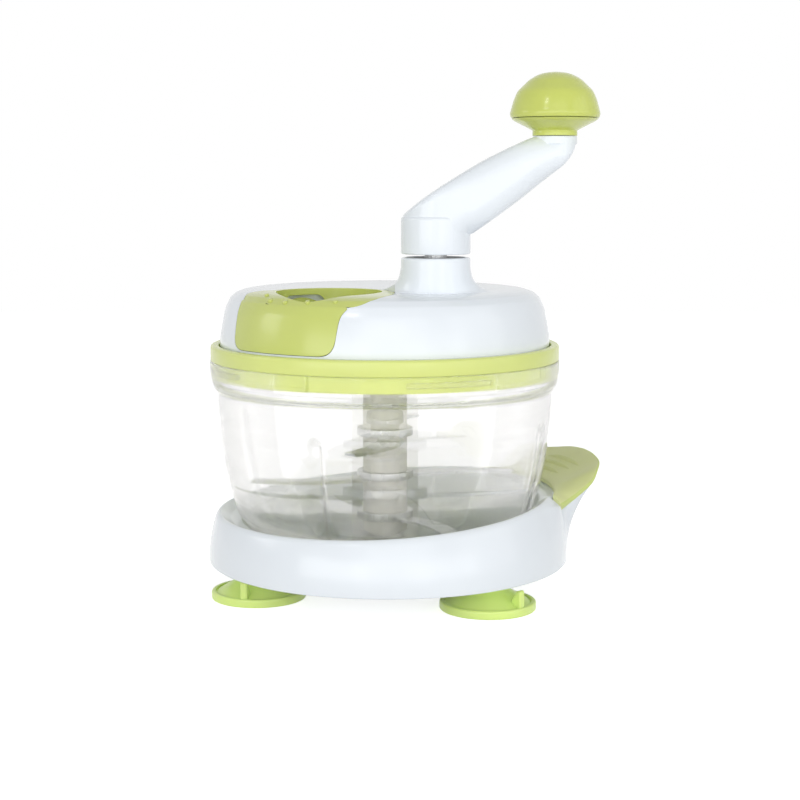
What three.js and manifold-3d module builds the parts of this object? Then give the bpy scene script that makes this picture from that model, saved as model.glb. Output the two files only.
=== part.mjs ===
/**
 * Hand-cranked food chopper: a clear bowl in a base on three suction cups, under a geared crank lid.
 * Millimetres, +Z up. The pieces are built about the bowl's axis, with the cups' rims at z = 0,
 * and the whole is centred over its footprint at the end.
 */
import * as THREE from 'three';
import { mergeVertices } from 'three/addons/utils/BufferGeometryUtils.js';
import Module from 'manifold-3d';

const wasm = await Module();
wasm.setup();

// Angles and clearances
const degree = Math.PI / 180;
const gap = 0.3; // between pieces that touch
const overrun = 1; // how far a cutter runs past the face it opens
const fine = 36; // sides of a large round piece
const knobSides = 24;
const medium = 18;
const coarse = 10;
const curveSteps = 6;
const weldReach = 0.0003; // points nearer than this are one point

// Clear bowl
const bowl = {
  foot: 28,
  height: 100.4,
  radius: 95.7,
  wall: 2.4,
  rimWall: 2.7,
  rimDepth: 10,
  floorShare: 0.606,
  plainRows: 8, // inside, every second row of the profile is used up to this one
  rimRows: 2, // and the last rows are the rim's
};
// Outer profile from the foot to the rim: shares of the radius and of the height
const bowlShares = [
  [0.606, 0],
  [0.69, 0.02],
  [0.763, 0.06],
  [0.82, 0.12],
  [0.857, 0.179],
  [0.888, 0.289],
  [0.92, 0.422],
  [0.94, 0.558],
  [0.944, 0.61],
  [0.951, 0.69],
  [0.957, 0.757],
  [0.9585, 0.832],
  [0.976, 0.852],
  [0.99, 0.886],
  [1, 0.95],
];
const flute = {
  azimuths: [-113, -23, 67, 157],
  depth: 1.5,
  halfTurn: 3.1,
  top: 97,
  topFade: 8,
  between: 8, // sections from one flute to the next
};
const fluteShares = [-1, -0.4, 0.4, 1];
const bowlRib = { azimuth: -158.5, turn: 28.5, drop: 5.8, height: 2.8, depth: 1.3 };
const pivot = { radius: 4, height: 16, flangeRadius: 9, flangeThickness: 1.5 };

// Suction cups and what lifts them
const cup = {
  inset: 23.1, // of its middle from the bowl's radius
  radius: 25.7,
  rimHeight: 4.6,
  rimWall: 2.6,
  ceiling: 6, // height of the hollow under the middle of the cup
  neckRadius: 10,
  domeRise: 11.5,
  skin: 2,
  ribWidth: 3.8,
  ribHeight: 13.5,
  ribLength: 6.5,
};
const cupPlaces = [
  { name: 'right', azimuth: -40.9, ribAzimuth: -45 },
  { name: 'left', azimuth: -160.9, ribAzimuth: -105 },
  { name: 'back', azimuth: 79.1, ribAzimuth: 79.1 },
];
const stud = { radius: 3, footRadius: 5.2, footThickness: 2, headRadius: 4.8, headThickness: 1.3 };
const liftRing = { bottom: 23.2, thickness: 2, halfWidth: 6 };

// Base tray
const base = {
  bottom: 17.5,
  outset: 3.5, // of its round foot from the bowl's radius
  forward: 1.75, // how far its round foot lies off the bowl's axis, along X
  wall: 2.5,
  rimInset: 2.9,
  rimLow: 45,
  rimRise: 12,
  rimPower: 1.6,
  rimEdge: 2.4, // rounding of the rim's outer edge
  rimFall: 4, // how far the rim's band slopes down towards the bowl
  seatInset: 10.3,
  deckHole: 12,
  deckWall: 2,
  flarePower: 2.2,
  seatRows: [1, 5], // rows of the bowl's profile that the seat follows
  turns: 22, // sections round the plain part of the rim
};
const flareShares = [0.3, 0.6, 0.85];
const plate = { thickness: 2.6, drain: 9 };
const plateScrew = {
  orbit: 45,
  azimuths: [20, 140, 260],
  bossRadius: 4.5,
  shankRadius: 1.3,
  headRadius: 3.2,
  headThickness: 1.2,
  depth: 7,
};

// Thumb tab and the suction lever's pad on it
const tab = {
  azimuth: 19.6,
  halfSpan: 30.7,
  sideRoom: 3, // degrees at the pad's two ends in which it moves clear of the rim
  outset: 29.5, // of its middle from the rim
  height: 72,
  tipOutset: 5.8,
  tipHeight: 49.5,
  fade: 16,
};
// Outline of the pad from its middle to its tip: angle, reach and height
const tabShares = [
  [0, 1, 1],
  [0.2, 0.996, 0.97],
  [0.407, 0.979, 0.88],
  [0.586, 0.861, 0.778],
  [0.684, 0.713, 0.533],
  [0.782, 0.397, 0.267],
  [0.847, 0.186, 0.111],
  [0.925, 0.085, 0.05],
  [1, 0, 0],
];
const pad = {
  outset: 0.7, // of its inner edge from the rim
  thickness: 2.7,
  scoop: 1.3,
  lipInset: 0.5,
  stepBack: 1.2,
  beneath: 0.8,
  swing: 1.4,
};
const padRib = {
  outsets: [7.9, 13.5, 18.5], // from the pad's inner edge
  frontTurns: [7.1, 8.6, 10.5],
  backTurn: 13,
  width: 1.7,
  rise: 1.2,
  steps: 8,
};
const lever = {
  axisInset: 13.8, // of its hinge line from the rim
  axisHeight: 44,
  endInset: 2.7, // of its ears from the pad's ends
  earThickness: 2.4,
  earOuter: 6.4,
  earInner: 4,
  barrelRadius: 3,
  pinRadius: 1.5,
  pinLength: 8.6,
  noseReach: 4.6,
  noseDrop: 3,
  noseRadius: 1.5,
};
const lug = { thickness: 3.4, halfWidth: 2.7, drop: 3, rise: 6.9 };
const hook = { thickness: 1.5, reach: 1.2, postThickness: 2, postWidth: 3.6, postBack: 1.4 };

// Heights of the lid, its gears and the crank are measured from the bowl's rim.

// Lid ring
const ring = {
  inset: 0.4, // from the bowl's radius
  crown: 8.6,
  edge: 1.6,
  wall: 4.4,
  floorTop: 2.6,
  floorThickness: 2.5,
  skirtPlay: 1.8,
  skirtWall: 2.4,
  skirtBottom: -8.6,
};
const bayonet = { azimuth: -127.7, turn: 26, height: 2.1, reach: 0.9, stopTurn: 1.6, stopHeight: 7.7 };

// Lid cover
const cover = { bottom: 2.9, top: 38.8, play: 0.9, wall: 2.5, plainRows: 7 };
// Outer profile from the wall's foot to the deck: shares of the radius and of the height
const coverShares = [
  [1, 0],
  [1, 0.24],
  [0.994, 0.354],
  [0.964, 0.716],
  [0.946, 0.811],
  [0.922, 0.903],
  [0.889, 0.953],
  [0.844, 0.983],
  [0.778, 1],
];
const neck = {
  x: 27,
  y: -36,
  radius: 18.2,
  top: 56.9,
  wall: 2.5,
  flare: 12,
  flareRise: 11,
  flareShare: 0.8, // how soon the flare grows from the front to the sides
  edge: 1,
};
// The flare from its foot to its top: shares of how far out and how far up it is
const flareOutlineShares = [
  [1, 0],
  [0.45, 0.2],
  [0.14, 0.52],
  [0, 1],
];

// Filler insert in the cover's front left
const insert = {
  azimuth: 231.8,
  width: 69.5,
  taper: 2, // how much wider the panel is at its top
  bottom: 9.6,
  cornerRadius: 7,
  cornerSteps: 4,
  skin: 2.5,
  depth: 14, // how far the panel's cutter reaches to each side of the wall
  creaseHeight: 34,
  creaseInset: 5.7,
  flareTurn: 3.5, // how far the deck's edge runs past the panel at the right
  margin: 3.5, // round the back of the well
  leftTip: [-72, -31],
  rightTip: [5.3, -37.4],
  bend: [6.8, -84],
  flareStart: 29.5, // height from which the panel's right side flares out
  flareReach: 2.6,
};
// The flare of the panel's right side: shares of how far out and how far up it is
const panelFlareShares = [
  [0, 0],
  [0.2, 0.55],
  [1, 1],
];
const well = {
  x: -29,
  y: -33,
  radius: 28,
  front: 13, // how far its front bulges out of round
  frontAzimuth: 263,
  depth: 12,
  wall: 2,
  slotShift: 19,
  windowAzimuth: 123.5, // of the opening through its back wall
  windowTurn: 53,
  windowDrop: 3.3, // below the well's rim
  backTurns: [10, 160], // where the deck's edge follows the well
  steps: 12,
};
const chute = { x: -43.5, y: -33, width: 21, length: 38, wall: 1.8, flange: 3 };
const panelDot = { radius: 1.3, rise: 0.8, lean: 20, sides: 8 };
// The dots along the crease: share of the cover's radius, and azimuth
const panelDotShares = [
  [0.867, 219],
  [0.914, 225],
  [0.92, 232.8],
  [0.914, 242.4],
  [0.903, 252.8],
];

// Gears
const train = {
  module: 1.25,
  crankTeeth: 54,
  pinionTeeth: 18,
  bottom: 11.6,
  height: 9,
  play: 0.34,
  rootShare: 1.25, // depth of the tooth below the pitch circle, as a share of the module
  pressureAngle: 20,
  rootAngle: 13,
};
const crankHub = { radius: 12, bottom: 8.6, top: 23.6 };
const pinionHub = { radius: 7.4, bottom: -1.2, top: 27.6 };

// Shafts and bushes
const shaft = { radius: 6, bottom: 4.6, top: 71.6, grooveHeight: 32.6 };
const clip = { radius: 9.5, thickness: 1.2, opening: 7, grooveDepth: 0.9 };
const neckBush = { wall: 2.2, bottom: 34.6, collar: 6.5 };
const post = { radius: 10, height: 5.5 };
const bush = { wall: 2, flangeRadius: 13.5, flange: 1.6 };
const driver = { across: 8.6, bottom: -24.4, top: 22.6 };
const lidScrew = {
  inset: 11,
  azimuths: [15, 105, 190, 275],
  bossRadius: 4.2,
  shankRadius: 1.4,
  headRadius: 3.2,
  headThickness: 1.4,
  length: 12,
  roofDrop: 4.4,
};

// Crank arm and knob
const arm = {
  hubBottom: 58.7,
  hubHeight: 19.4,
  step: 0.9, // how far its sides stand in from the hub's
  throw: 61.6,
  bossRadius: 11.6,
  bossTop: 119.4,
};
// Side view of the arm: x as a share of the throw from the crank's axis, z as a share of the arm's height
const armUpperShares = [
  [-0.2955, 0.32],
  [-0.1, 0.478],
  [0.125, 0.629],
  [0.377, 0.783],
  [0.57, 0.883],
  [0.677, 0.934],
  [0.794, 0.984],
  [0.86, 1],
];
const armLowerShares = [
  [0.2955, 0.17],
  [0.448, 0.273],
  [0.589, 0.376],
  [0.724, 0.478],
  [0.849, 0.58],
  [0.974, 0.68],
  [1.091, 0.783],
  [1.156, 0.883],
  [1.18, 0.984],
];
const knob = { bottom: 119.7, top: 152.4, radius: 23.3, splitShare: 0.27, wall: 2.4, footRows: 3 };
// Outer profile of the knob: shares of the radius and of the height
const knobShares = [
  [0.498, 0],
  [0.5, 0.078],
  [0.56, 0.105],
  [0.764, 0.16],
  [0.931, 0.245],
  [1, 0.33],
  [0.975, 0.425],
  [0.94, 0.515],
  [0.893, 0.61],
  [0.828, 0.7],
  [0.704, 0.79],
  [0.554, 0.885],
  [0.309, 0.97],
];
const spindle = { radius: 3.2, headRadius: 6, headThickness: 2, seat: 103.9 };
const knobCore = { radius: 6, height: 14 };

// Blades on their column
const column = { radius: 12.2, drop: 10.9, socketRadius: 9, socketDepth: 18 };
const columnCap = { height: 9 };
const blade = {
  thickness: 1.4,
  hubWall: 3,
  width: 13,
  sweep: 0.34,
  tipShare: 0.42,
  rootShare: 0.7,
};
// Where the curves of the cutting edge and the back bend: shares of the reach and of the width
const bladeBendShares = { edge: [0.62, 0.75], back: [0.5, -0.45] };
// Shares of the bowl's height above its foot and of its radius
const bladePlaces = [
  { name: 'low', heightShare: 0.115, reachShare: 0.721, azimuth: -35 },
  { name: 'mid', heightShare: 0.339, reachShare: 0.794, azimuth: 35 },
  { name: 'high', heightShare: 0.578, reachShare: 0.815, azimuth: 100 },
];

// Sizes that follow from the bowl's
const bowlTop = bowl.foot + bowl.height;
const bowlFloor = bowl.foot + bowl.wall;
const bowlRimInner = bowl.radius - bowl.rimWall;
const cupOrbit = bowl.radius - cup.inset;
const baseRadius = bowl.radius + base.outset;
const rimRadius = bowl.radius - base.rimInset;
const seatRadius = bowl.radius - base.seatInset;
const tabReach = rimRadius + tab.outset;
const tipReach = rimRadius + tab.tipOutset;
const padInner = rimRadius + pad.outset;
const axisReach = rimRadius - lever.axisInset;
const leverHalfSpan = padInner * Math.sin(tab.halfSpan * degree) - lever.endInset;
const ringOuter = bowl.radius - ring.inset;
const ringInner = ringOuter - ring.wall;
const skirtOuter = bowlRimInner - ring.skirtPlay;
const coverRadius = ringInner - cover.play;
const creaseReach = coverRadius - insert.creaseInset;
const lidScrewOrbit = coverRadius - lidScrew.inset;
const columnTop = bowlTop - column.drop;

// Finishes
const finish = {
  white: new THREE.MeshStandardMaterial({ color: 0xf0f6fb, roughness: 0.3, metalness: 0 }),
  green: new THREE.MeshStandardMaterial({ color: 0xcbd97f, roughness: 0.38, metalness: 0 }),
  paleGreen: new THREE.MeshStandardMaterial({ color: 0xe0ea91, roughness: 0.4, metalness: 0 }),
  olive: new THREE.MeshStandardMaterial({ color: 0xbcc28a, roughness: 0.5, metalness: 0 }),
  rubber: new THREE.MeshStandardMaterial({ color: 0xc6e070, roughness: 0.6, metalness: 0 }),
  clear: new THREE.MeshStandardMaterial({ color: 0xe9e6dc, roughness: 0.05, metalness: 0, opacity: 0.3 }),
  grey: new THREE.MeshStandardMaterial({ color: 0xd4d3cf, roughness: 0.4, metalness: 0 }),
  steel: new THREE.MeshStandardMaterial({ color: 0xc3c6c9, roughness: 0.25, metalness: 1 }),
};

const chopper = new THREE.Group();

// Adds a piece to the model as a named mesh.
function add(name, geometry, material) {
  const mesh = new THREE.Mesh(welded(geometry), material);
  mesh.geometry.computeVertexNormals();
  mesh.name = name;
  chopper.add(mesh);
}

// Adds a piece that is built with the bowl's rim at z = 0.
function addAboveRim(name, geometry, material) {
  add(name, geometry.translate(0, 0, bowlTop), material);
}

// Joins points that coincide and drops the triangles that this leaves without area.
function welded(geometry) {
  const bare = new THREE.BufferGeometry();
  bare.setAttribute('position', geometry.attributes.position);
  if (geometry.index) bare.setIndex(geometry.index);
  const merged = mergeVertices(bare, weldReach);
  const corners = merged.index.array;
  const kept = [];
  for (let i = 0; i < corners.length; i += 3) {
    const [a, b, c] = corners.slice(i, i + 3);
    if (a !== b && b !== c && c !== a) kept.push(a, b, c);
  }
  merged.setIndex(kept);
  return merged;
}

function toSolid(geometry) {
  const closed = welded(geometry);
  const vertProperties = new Float32Array(closed.attributes.position.array);
  const triVerts = new Uint32Array(closed.index.array);
  return new wasm.Manifold(new wasm.Mesh({ numProp: 3, vertProperties, triVerts }));
}

function combine(first, others, operation) {
  let result = toSolid(first);
  for (const other of others) result = result[operation](toSolid(other));
  const { vertProperties, triVerts } = result.getMesh();
  const geometry = new THREE.BufferGeometry();
  geometry.setAttribute('position', new THREE.BufferAttribute(new Float32Array(vertProperties), 3));
  geometry.setIndex(new THREE.BufferAttribute(new Uint32Array(triVerts), 1));
  return geometry;
}

const join = (first, ...others) => combine(first, others, 'add');
const cut = (first, ...others) => combine(first, others, 'subtract');
const common = (first, ...others) => combine(first, others, 'intersect');

// Turns a profile of [radius, height] points about the Z axis. It starts and ends on the axis,
// or closes on itself.
function revolve(profile, sides) {
  const outline = profile.map(([radius, height]) => new THREE.Vector2(radius, height));
  return new THREE.LatheGeometry(outline, sides).rotateX(Math.PI / 2);
}

const rod = (radius, bottom, top, sides = coarse) =>
  revolve([[0, bottom], [radius, bottom], [radius, top], [0, top]], sides);

const tube = (inner, outer, bottom, top, sides = medium) =>
  revolve([[inner, bottom], [outer, bottom], [outer, top], [inner, top], [inner, bottom]], sides);

function block([x0, x1], [y0, y1], [z0, z1]) {
  const centre = [(x0 + x1) / 2, (y0 + y1) / 2, (z0 + z1) / 2];
  return new THREE.BoxGeometry(x1 - x0, y1 - y0, z1 - z0).translate(...centre);
}

// An upright prism over an outline of [x, y] points.
function prism(outline, bottom, top, holes = []) {
  const line = (points) => points.map(([x, y]) => new THREE.Vector2(x, y));
  const shape = new THREE.Shape(line(outline));
  for (const hole of holes) shape.holes.push(new THREE.Path(line(hole)));
  const raised = new THREE.ExtrudeGeometry(shape, { depth: top - bottom, bevelEnabled: false });
  return raised.translate(0, 0, bottom);
}

function arcPoints(radius, from, to, steps, x = 0, y = 0) {
  return Array.from({ length: steps + 1 }, (_, i) => {
    const angle = (from + ((to - from) * i) / steps) * degree;
    return [x + radius * Math.cos(angle), y + radius * Math.sin(angle)];
  });
}

const circlePoints = (radius, x = 0, y = 0, sides = medium) =>
  arcPoints(radius, 0, 360, sides, x, y).slice(0, sides);

// The outline round two circles on the X axis, the second one at the given distance.
function strapPoints(radius, distance, endRadius, steps = coarse) {
  const lean = Math.acos((radius - endRadius) / distance) / degree;
  const end = arcPoints(endRadius, -lean, lean, steps, distance);
  return [...end, ...arcPoints(radius, lean, 360 - lean, steps)];
}

function distanceBetween(positions, i, j) {
  return Math.hypot(...[0, 1, 2].map((axis) => positions[3 * i + axis] - positions[3 * j + axis]));
}

// A solid round the Z axis, whose section changes with the azimuth. A section is a closed loop of
// [radius, height] points.
function polarSolid(sectionAt, azimuths, fullTurn = true) {
  const loops = azimuths.map(sectionAt);
  const count = loops[0].length;
  const positions = azimuths.flatMap((azimuth, i) => loops[i].flatMap(([radius, height]) =>
    [radius * Math.cos(azimuth * degree), radius * Math.sin(azimuth * degree), height]));
  const corners = [];
  const spans = fullTurn ? azimuths.length : azimuths.length - 1;
  for (let i = 0; i < spans; i += 1) {
    const here = i * count;
    const there = ((i + 1) % azimuths.length) * count;
    for (let j = 0; j < count; j += 1) {
      const next = (j + 1) % count;
      const [a, b, c, d] = [here + j, there + j, there + next, here + next];
      const rising = distanceBetween(positions, a, c) < distanceBetween(positions, b, d);
      corners.push(...(rising ? [a, b, c, a, c, d] : [a, b, d, b, c, d]));
    }
  }
  if (!fullTurn) {
    const last = spans * count;
    for (const [a, b, c] of capTriangles(loops[0])) corners.push(a, b, c);
    for (const [a, b, c] of capTriangles(loops[spans])) corners.push(last + a, last + c, last + b);
  }
  const geometry = new THREE.BufferGeometry();
  geometry.setAttribute('position', new THREE.Float32BufferAttribute(positions, 3));
  geometry.setIndex(corners);
  return geometry;
}

function capTriangles(loop) {
  const outline = loop.map(([radius, height]) => new THREE.Vector2(radius, height));
  return THREE.ShapeUtils.triangulateShape(outline, []);
}

// Moves an open line of points sideways, to its left for a positive distance.
function offsetLine(points, distance) {
  return points.map(([x, y], i) => {
    const before = points[Math.max(i - 1, 0)];
    const after = points[Math.min(i + 1, points.length - 1)];
    const share = distance / Math.hypot(after[0] - before[0], after[1] - before[1]);
    return [x - share * (after[1] - before[1]), y + share * (after[0] - before[0])];
  });
}

// Reads a table of [position, value, value] rows between its rows.
function shareAt(rows, position) {
  const above = Math.min(Math.max(rows.findIndex(([at]) => at >= position), 1), rows.length - 1);
  const [from, ...low] = rows[above - 1];
  const [to, ...high] = rows[above];
  const way = (position - from) / (to - from);
  return low.map((value, i) => value + (high[i] - value) * way);
}

const blend = (from, to, share) => from.map((value, i) => value + (to[i] - value) * share);
const evenTurns = (steps, from = 0, span = 360) =>
  Array.from({ length: steps }, (_, i) => from + (span * i) / steps);
const turnBetween = (azimuth, other) => ((((azimuth - other + 180) % 360) + 360) % 360) - 180;
// Every second point of a line up to a given one, and all the points after it.
const thinned = (points, plainRows) => points.filter((_, i) => i % 2 === 0 || i > plainRows);
const mirrored = (shares) => [...shares.slice(1).reverse().map((share) => -share), ...shares];

// Suction cups, their studs and the ring that draws them up

function suctionCup() {
  const rimTop = cup.rimHeight;
  const neckTop = base.bottom - gap;
  const cavityTop = cup.ceiling + cup.skin + stud.footThickness + gap * 2;
  const dome = revolve([
    [0, cup.ceiling],
    [cup.neckRadius, cup.ceiling],
    [cup.radius - cup.rimWall, cup.skin],
    [cup.radius - cup.rimWall, 0],
    [cup.radius, 0],
    [cup.radius, rimTop],
    [cup.radius - cup.rimWall, rimTop],
    [cup.neckRadius, cup.domeRise],
    [cup.neckRadius, neckTop],
    [stud.radius + gap, neckTop],
    [stud.radius + gap, cavityTop],
    [stud.footRadius + gap, cavityTop],
    [stud.footRadius + gap, cup.ceiling + cup.skin],
    [0, cup.ceiling + cup.skin],
  ], medium);
  const outer = cup.radius - cup.rimWall / 2;
  const rib = block(
    [outer - cup.ribLength, outer],
    [-cup.ribWidth / 2, cup.ribWidth / 2],
    [cup.rimHeight / 2, cup.ribHeight],
  );
  return { dome, rib };
}

function cupStud() {
  const floor = cup.ceiling + cup.skin + gap;
  const headFloor = liftRing.bottom + liftRing.thickness + gap;
  return revolve([
    [0, floor],
    [stud.footRadius, floor],
    [stud.footRadius, floor + stud.footThickness],
    [stud.radius, floor + stud.footThickness],
    [stud.radius, headFloor],
    [stud.headRadius, headFloor],
    [stud.headRadius, headFloor + stud.headThickness],
    [0, headFloor + stud.headThickness],
  ], coarse);
}

for (const place of cupPlaces) {
  const x = cupOrbit * Math.cos(place.azimuth * degree);
  const y = cupOrbit * Math.sin(place.azimuth * degree);
  const { dome, rib } = suctionCup();
  const whole = join(dome, rib.rotateZ(place.ribAzimuth * degree));
  add(`suction_cup_${place.name}`, whole.translate(x, y, 0), finish.rubber);
  add(`cup_stud_${place.name}`, cupStud().translate(x, y, 0), finish.grey);
}

// The hooks on the ring hang over the noses of the lever.
function hookAt(side) {
  const noseX = axisReach - lever.noseReach;
  const hookFloor = lever.axisHeight - lever.noseDrop + lever.noseRadius + gap * 2;
  const innerY = leverHalfSpan - lever.earThickness / 2;
  const postY = leverHalfSpan + gap;
  const outerY = postY + hook.postThickness;
  const span = (from, to) => (side > 0 ? [from, to] : [-to, -from]);
  const xSpan = [noseX - hook.reach, noseX - hook.reach + hook.postWidth];
  const ringSpan = [liftRing.bottom, liftRing.bottom + liftRing.thickness];
  const ringX = [Math.sqrt((cupOrbit - liftRing.halfWidth) ** 2 - postY ** 2) + hook.postBack, xSpan[1]];
  const arm = block(ringX, span(postY, outerY), ringSpan);
  const upright = block(xSpan, span(postY, outerY), [liftRing.bottom, hookFloor + hook.thickness]);
  const finger = block(
    [noseX - hook.reach, noseX + gap],
    span(innerY, outerY),
    [hookFloor, hookFloor + hook.thickness],
  );
  return join(arm, upright, finger);
}

function liftRingSolid() {
  const holes = cupPlaces.map(({ azimuth }) => rod(stud.radius + gap, 0, base.rimLow)
    .translate(cupOrbit * Math.cos(azimuth * degree), cupOrbit * Math.sin(azimuth * degree), 0));
  const { bottom, thickness, halfWidth } = liftRing;
  const flat = cut(
    tube(cupOrbit - halfWidth, cupOrbit + halfWidth, bottom, bottom + thickness, fine),
    ...holes,
  );
  const hooks = join(hookAt(1), hookAt(-1)).rotateZ(tab.azimuth * degree);
  return join(flat, hooks);
}

add('lift_ring', liftRingSolid(), finish.grey);

// Base tray

// The rim's height at an angle from the tab's middle.
const rimHeight = (away) =>
  base.rimLow + base.rimRise * ((1 + Math.cos(away * degree)) / 2) ** base.rimPower;

// The pad's outer edge at an angle from the tab's middle.
function padEdge(away) {
  const [reachShare, riseShare] = shareAt(tabShares, Math.min(away / tab.halfSpan, 1));
  return [blend([tipReach], [tabReach], reachShare)[0], blend([tab.tipHeight], [tab.height], riseShare)[0]];
}

// The tray's shoulder and crest below the pad, parallel to the pad's underside. Where the pad falls off
// outwards, they lie lower, because it swings inwards there.
function ledgeUnderPad(away) {
  const [reach, height] = padEdge(away);
  const outer = reach - pad.lipInset;
  const innerFloor = rimHeight(away) - pad.thickness;
  const slope = (height - pad.thickness - innerFloor) / (outer - padInner);
  const beneath = pad.beneath + pad.swing * Math.max(-slope, 0);
  const at = (radius) => [radius, innerFloor + slope * (radius - padInner) - beneath];
  return [at(outer - pad.stepBack), at(padInner - pad.stepBack)];
}

// The tray's shoulder and crest where no pad lies on it.
function openRim(away) {
  const rim = rimHeight(away);
  const share = Math.min((away - tab.halfSpan) / tab.fade, 1);
  const eased = share * share * (3 - 2 * share);
  const plain = [rimRadius + base.rimEdge / 3, rim - base.rimEdge];
  const shoulder = blend([tipReach, tab.tipHeight], plain, eased);
  return [shoulder, [rimRadius - base.rimEdge / 2, rim]];
}

function bowlOutline() {
  return bowlShares.map(([reachShare, riseShare]) =>
    [bowl.radius * reachShare, bowl.foot + bowl.height * riseShare]);
}

const seatPlay = gap * 3;
const seatRows = bowlOutline().slice(...base.seatRows);
const seat = offsetLine(seatRows, -seatPlay).reverse();
const seatUnderside = offsetLine(seatRows, -seatPlay - base.deckWall);

// Slides the points of the seat's line that stand above a height down the line to that height.
function heldBelow(line, limit) {
  const rows = line.map(([radius, height]) => [height, radius]).sort((a, b) => a[0] - b[0]);
  const held = [...shareAt(rows, limit), limit];
  return line.map((point) => (point[1] > limit ? held : point));
}

function baseSection(azimuth) {
  const away = Math.abs(turnBetween(azimuth, tab.azimuth));
  const foot = baseRadius + base.forward * Math.cos(azimuth * degree);
  const [shoulder, crest] = away <= tab.halfSpan + tab.sideRoom / 2 ? ledgeUnderPad(away) : openRim(away);
  const lip = [seatRadius, rimHeight(away) - base.rimFall];
  const deck = bowl.foot - gap;
  const footRadius = bowl.radius * bowl.floorShare;
  const wallAt = (share, inset) => [
    foot + (shoulder[0] - foot) * share ** base.flarePower - inset,
    base.bottom + share * (shoulder[1] - base.bottom),
  ];
  return [
    wallAt(0, base.wall),
    wallAt(0, 0),
    ...flareShares.map((share) => wallAt(share, 0)),
    shoulder,
    crest,
    lip,
    ...heldBelow(seat, lip[1] - gap),
    [footRadius, deck],
    [base.deckHole, deck],
    [base.deckHole, deck - base.deckWall],
    [footRadius, deck - base.deckWall],
    ...heldBelow(seatUnderside, lip[1] - base.wall - gap),
    [lip[0] + base.deckWall, lip[1] - base.wall],
    [crest[0], crest[1] - base.wall],
    [shoulder[0] - base.wall, shoulder[1] - base.wall],
    wallAt(flareShares[1], base.wall),
    wallAt(flareShares[0], base.wall),
  ];
}

const tabTurns = mirrored(tabShares.map(([share]) => share)).map((share) => share * tab.halfSpan);
const fadeShares = [0.09, 0.11, 0.3, 0.6, 1];
const fadeTurns = fadeShares.map((share) => tab.halfSpan + share * tab.fade);
const baseTurns = [
  ...tabTurns,
  ...fadeTurns,
  ...evenTurns(base.turns, tab.halfSpan + tab.fade, 360 - 2 * (tab.halfSpan + tab.fade)).slice(1),
  ...fadeTurns.map((turn) => 360 - turn).reverse(),
].map((turn) => turn + tab.azimuth);

function pinLug(side) {
  const outerY = leverHalfSpan - lever.earThickness - gap;
  const ySpan = [outerY - lug.thickness, outerY].map((y) => y * side).sort((a, b) => a - b);
  return block(
    [axisReach - lug.halfWidth, axisReach + lug.halfWidth],
    ySpan,
    [lever.axisHeight - lug.drop, lever.axisHeight + lug.rise],
  );
}

function pinHole(side, radius) {
  const middle = leverHalfSpan - lever.earThickness - gap - lug.thickness / 2;
  return rod(radius, -lug.thickness, lug.thickness)
    .rotateX(Math.PI / 2)
    .translate(axisReach, side * middle, lever.axisHeight);
}

function earSlot(side) {
  const ySpan = [leverHalfSpan - lever.earThickness - gap * 2, leverHalfSpan + gap * 2]
    .map((y) => y * side)
    .sort((a, b) => a - b);
  return block(
    [axisReach + lever.noseRadius, axisReach + lever.earOuter + gap * 2],
    ySpan,
    [lever.axisHeight, lever.axisHeight + base.rimRise * 2],
  );
}

function baseShell() {
  const floor = base.bottom + plate.thickness + gap;
  const roof = bowl.foot - gap - base.deckWall / 2;
  const bosses = plateScrew.azimuths.map((azimuth) => {
    const [[x, y]] = arcPoints(plateScrew.orbit, azimuth, azimuth, 1);
    return tube(plateScrew.shankRadius + gap, plateScrew.bossRadius, floor, roof, coarse).translate(x, y, 0);
  });
  const tray = join(polarSolid(baseSection, baseTurns), ...bosses);
  const sides = [1, -1];
  const lugs = sides.map((side) => cut(pinLug(side), pinHole(side, lever.pinRadius + gap)));
  const slots = sides.map(earSlot);
  for (const piece of [...slots, ...lugs]) piece.rotateZ(tab.azimuth * degree);
  return join(cut(tray, ...slots), ...lugs);
}

add('base_shell', baseShell(), finish.white);

function bottomPlate() {
  const top = base.bottom + plate.thickness;
  const outer = baseRadius - base.wall - gap * 3;
  const disc = tube(plate.drain, outer, base.bottom, top, fine).translate(base.forward, 0, 0);
  const studHoles = cupPlaces.map(({ azimuth }) => rod(stud.radius + gap * 3, 0, top + overrun)
    .translate(cupOrbit * Math.cos(azimuth * degree), cupOrbit * Math.sin(azimuth * degree), 0));
  const screwHoles = plateScrew.azimuths.flatMap((azimuth) => {
    const x = plateScrew.orbit * Math.cos(azimuth * degree);
    const y = plateScrew.orbit * Math.sin(azimuth * degree);
    const head = plateScrew.headThickness + gap;
    return [
      rod(plateScrew.shankRadius + gap, 0, top + overrun).translate(x, y, 0),
      rod(plateScrew.headRadius + gap, 0, base.bottom + head).translate(x, y, 0),
    ];
  });
  return cut(disc, ...studHoles, ...screwHoles);
}

add('base_bottom_plate', bottomPlate(), finish.white);

function screw({ headRadius, headThickness, shankRadius }, length) {
  return revolve([
    [0, 0],
    [headRadius, 0],
    [headRadius, headThickness],
    [shankRadius, headThickness],
    [shankRadius, headThickness + length],
    [0, headThickness + length],
  ], coarse);
}

plateScrew.azimuths.forEach((azimuth, i) => {
  const fastener = screw(plateScrew, plateScrew.depth).translate(plateScrew.orbit, 0, base.bottom);
  add(`base_screw_${i + 1}`, fastener.rotateZ(azimuth * degree), finish.steel);
});

// Suction lever: the pad, with an ear, a barrel and a nose at each end

function padSection(azimuth) {
  const away = Math.abs(turnBetween(azimuth, tab.azimuth));
  const [reach, height] = padEdge(away);
  const inner = rimHeight(away);
  const scoop = pad.scoop * (1 - away / tab.halfSpan);
  return [
    [padInner, inner - pad.thickness],
    [reach - pad.lipInset, height - pad.thickness],
    [reach, height],
    [(padInner + reach) / 2, (inner + height) / 2 - scoop],
    [padInner, inner],
  ];
}

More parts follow.
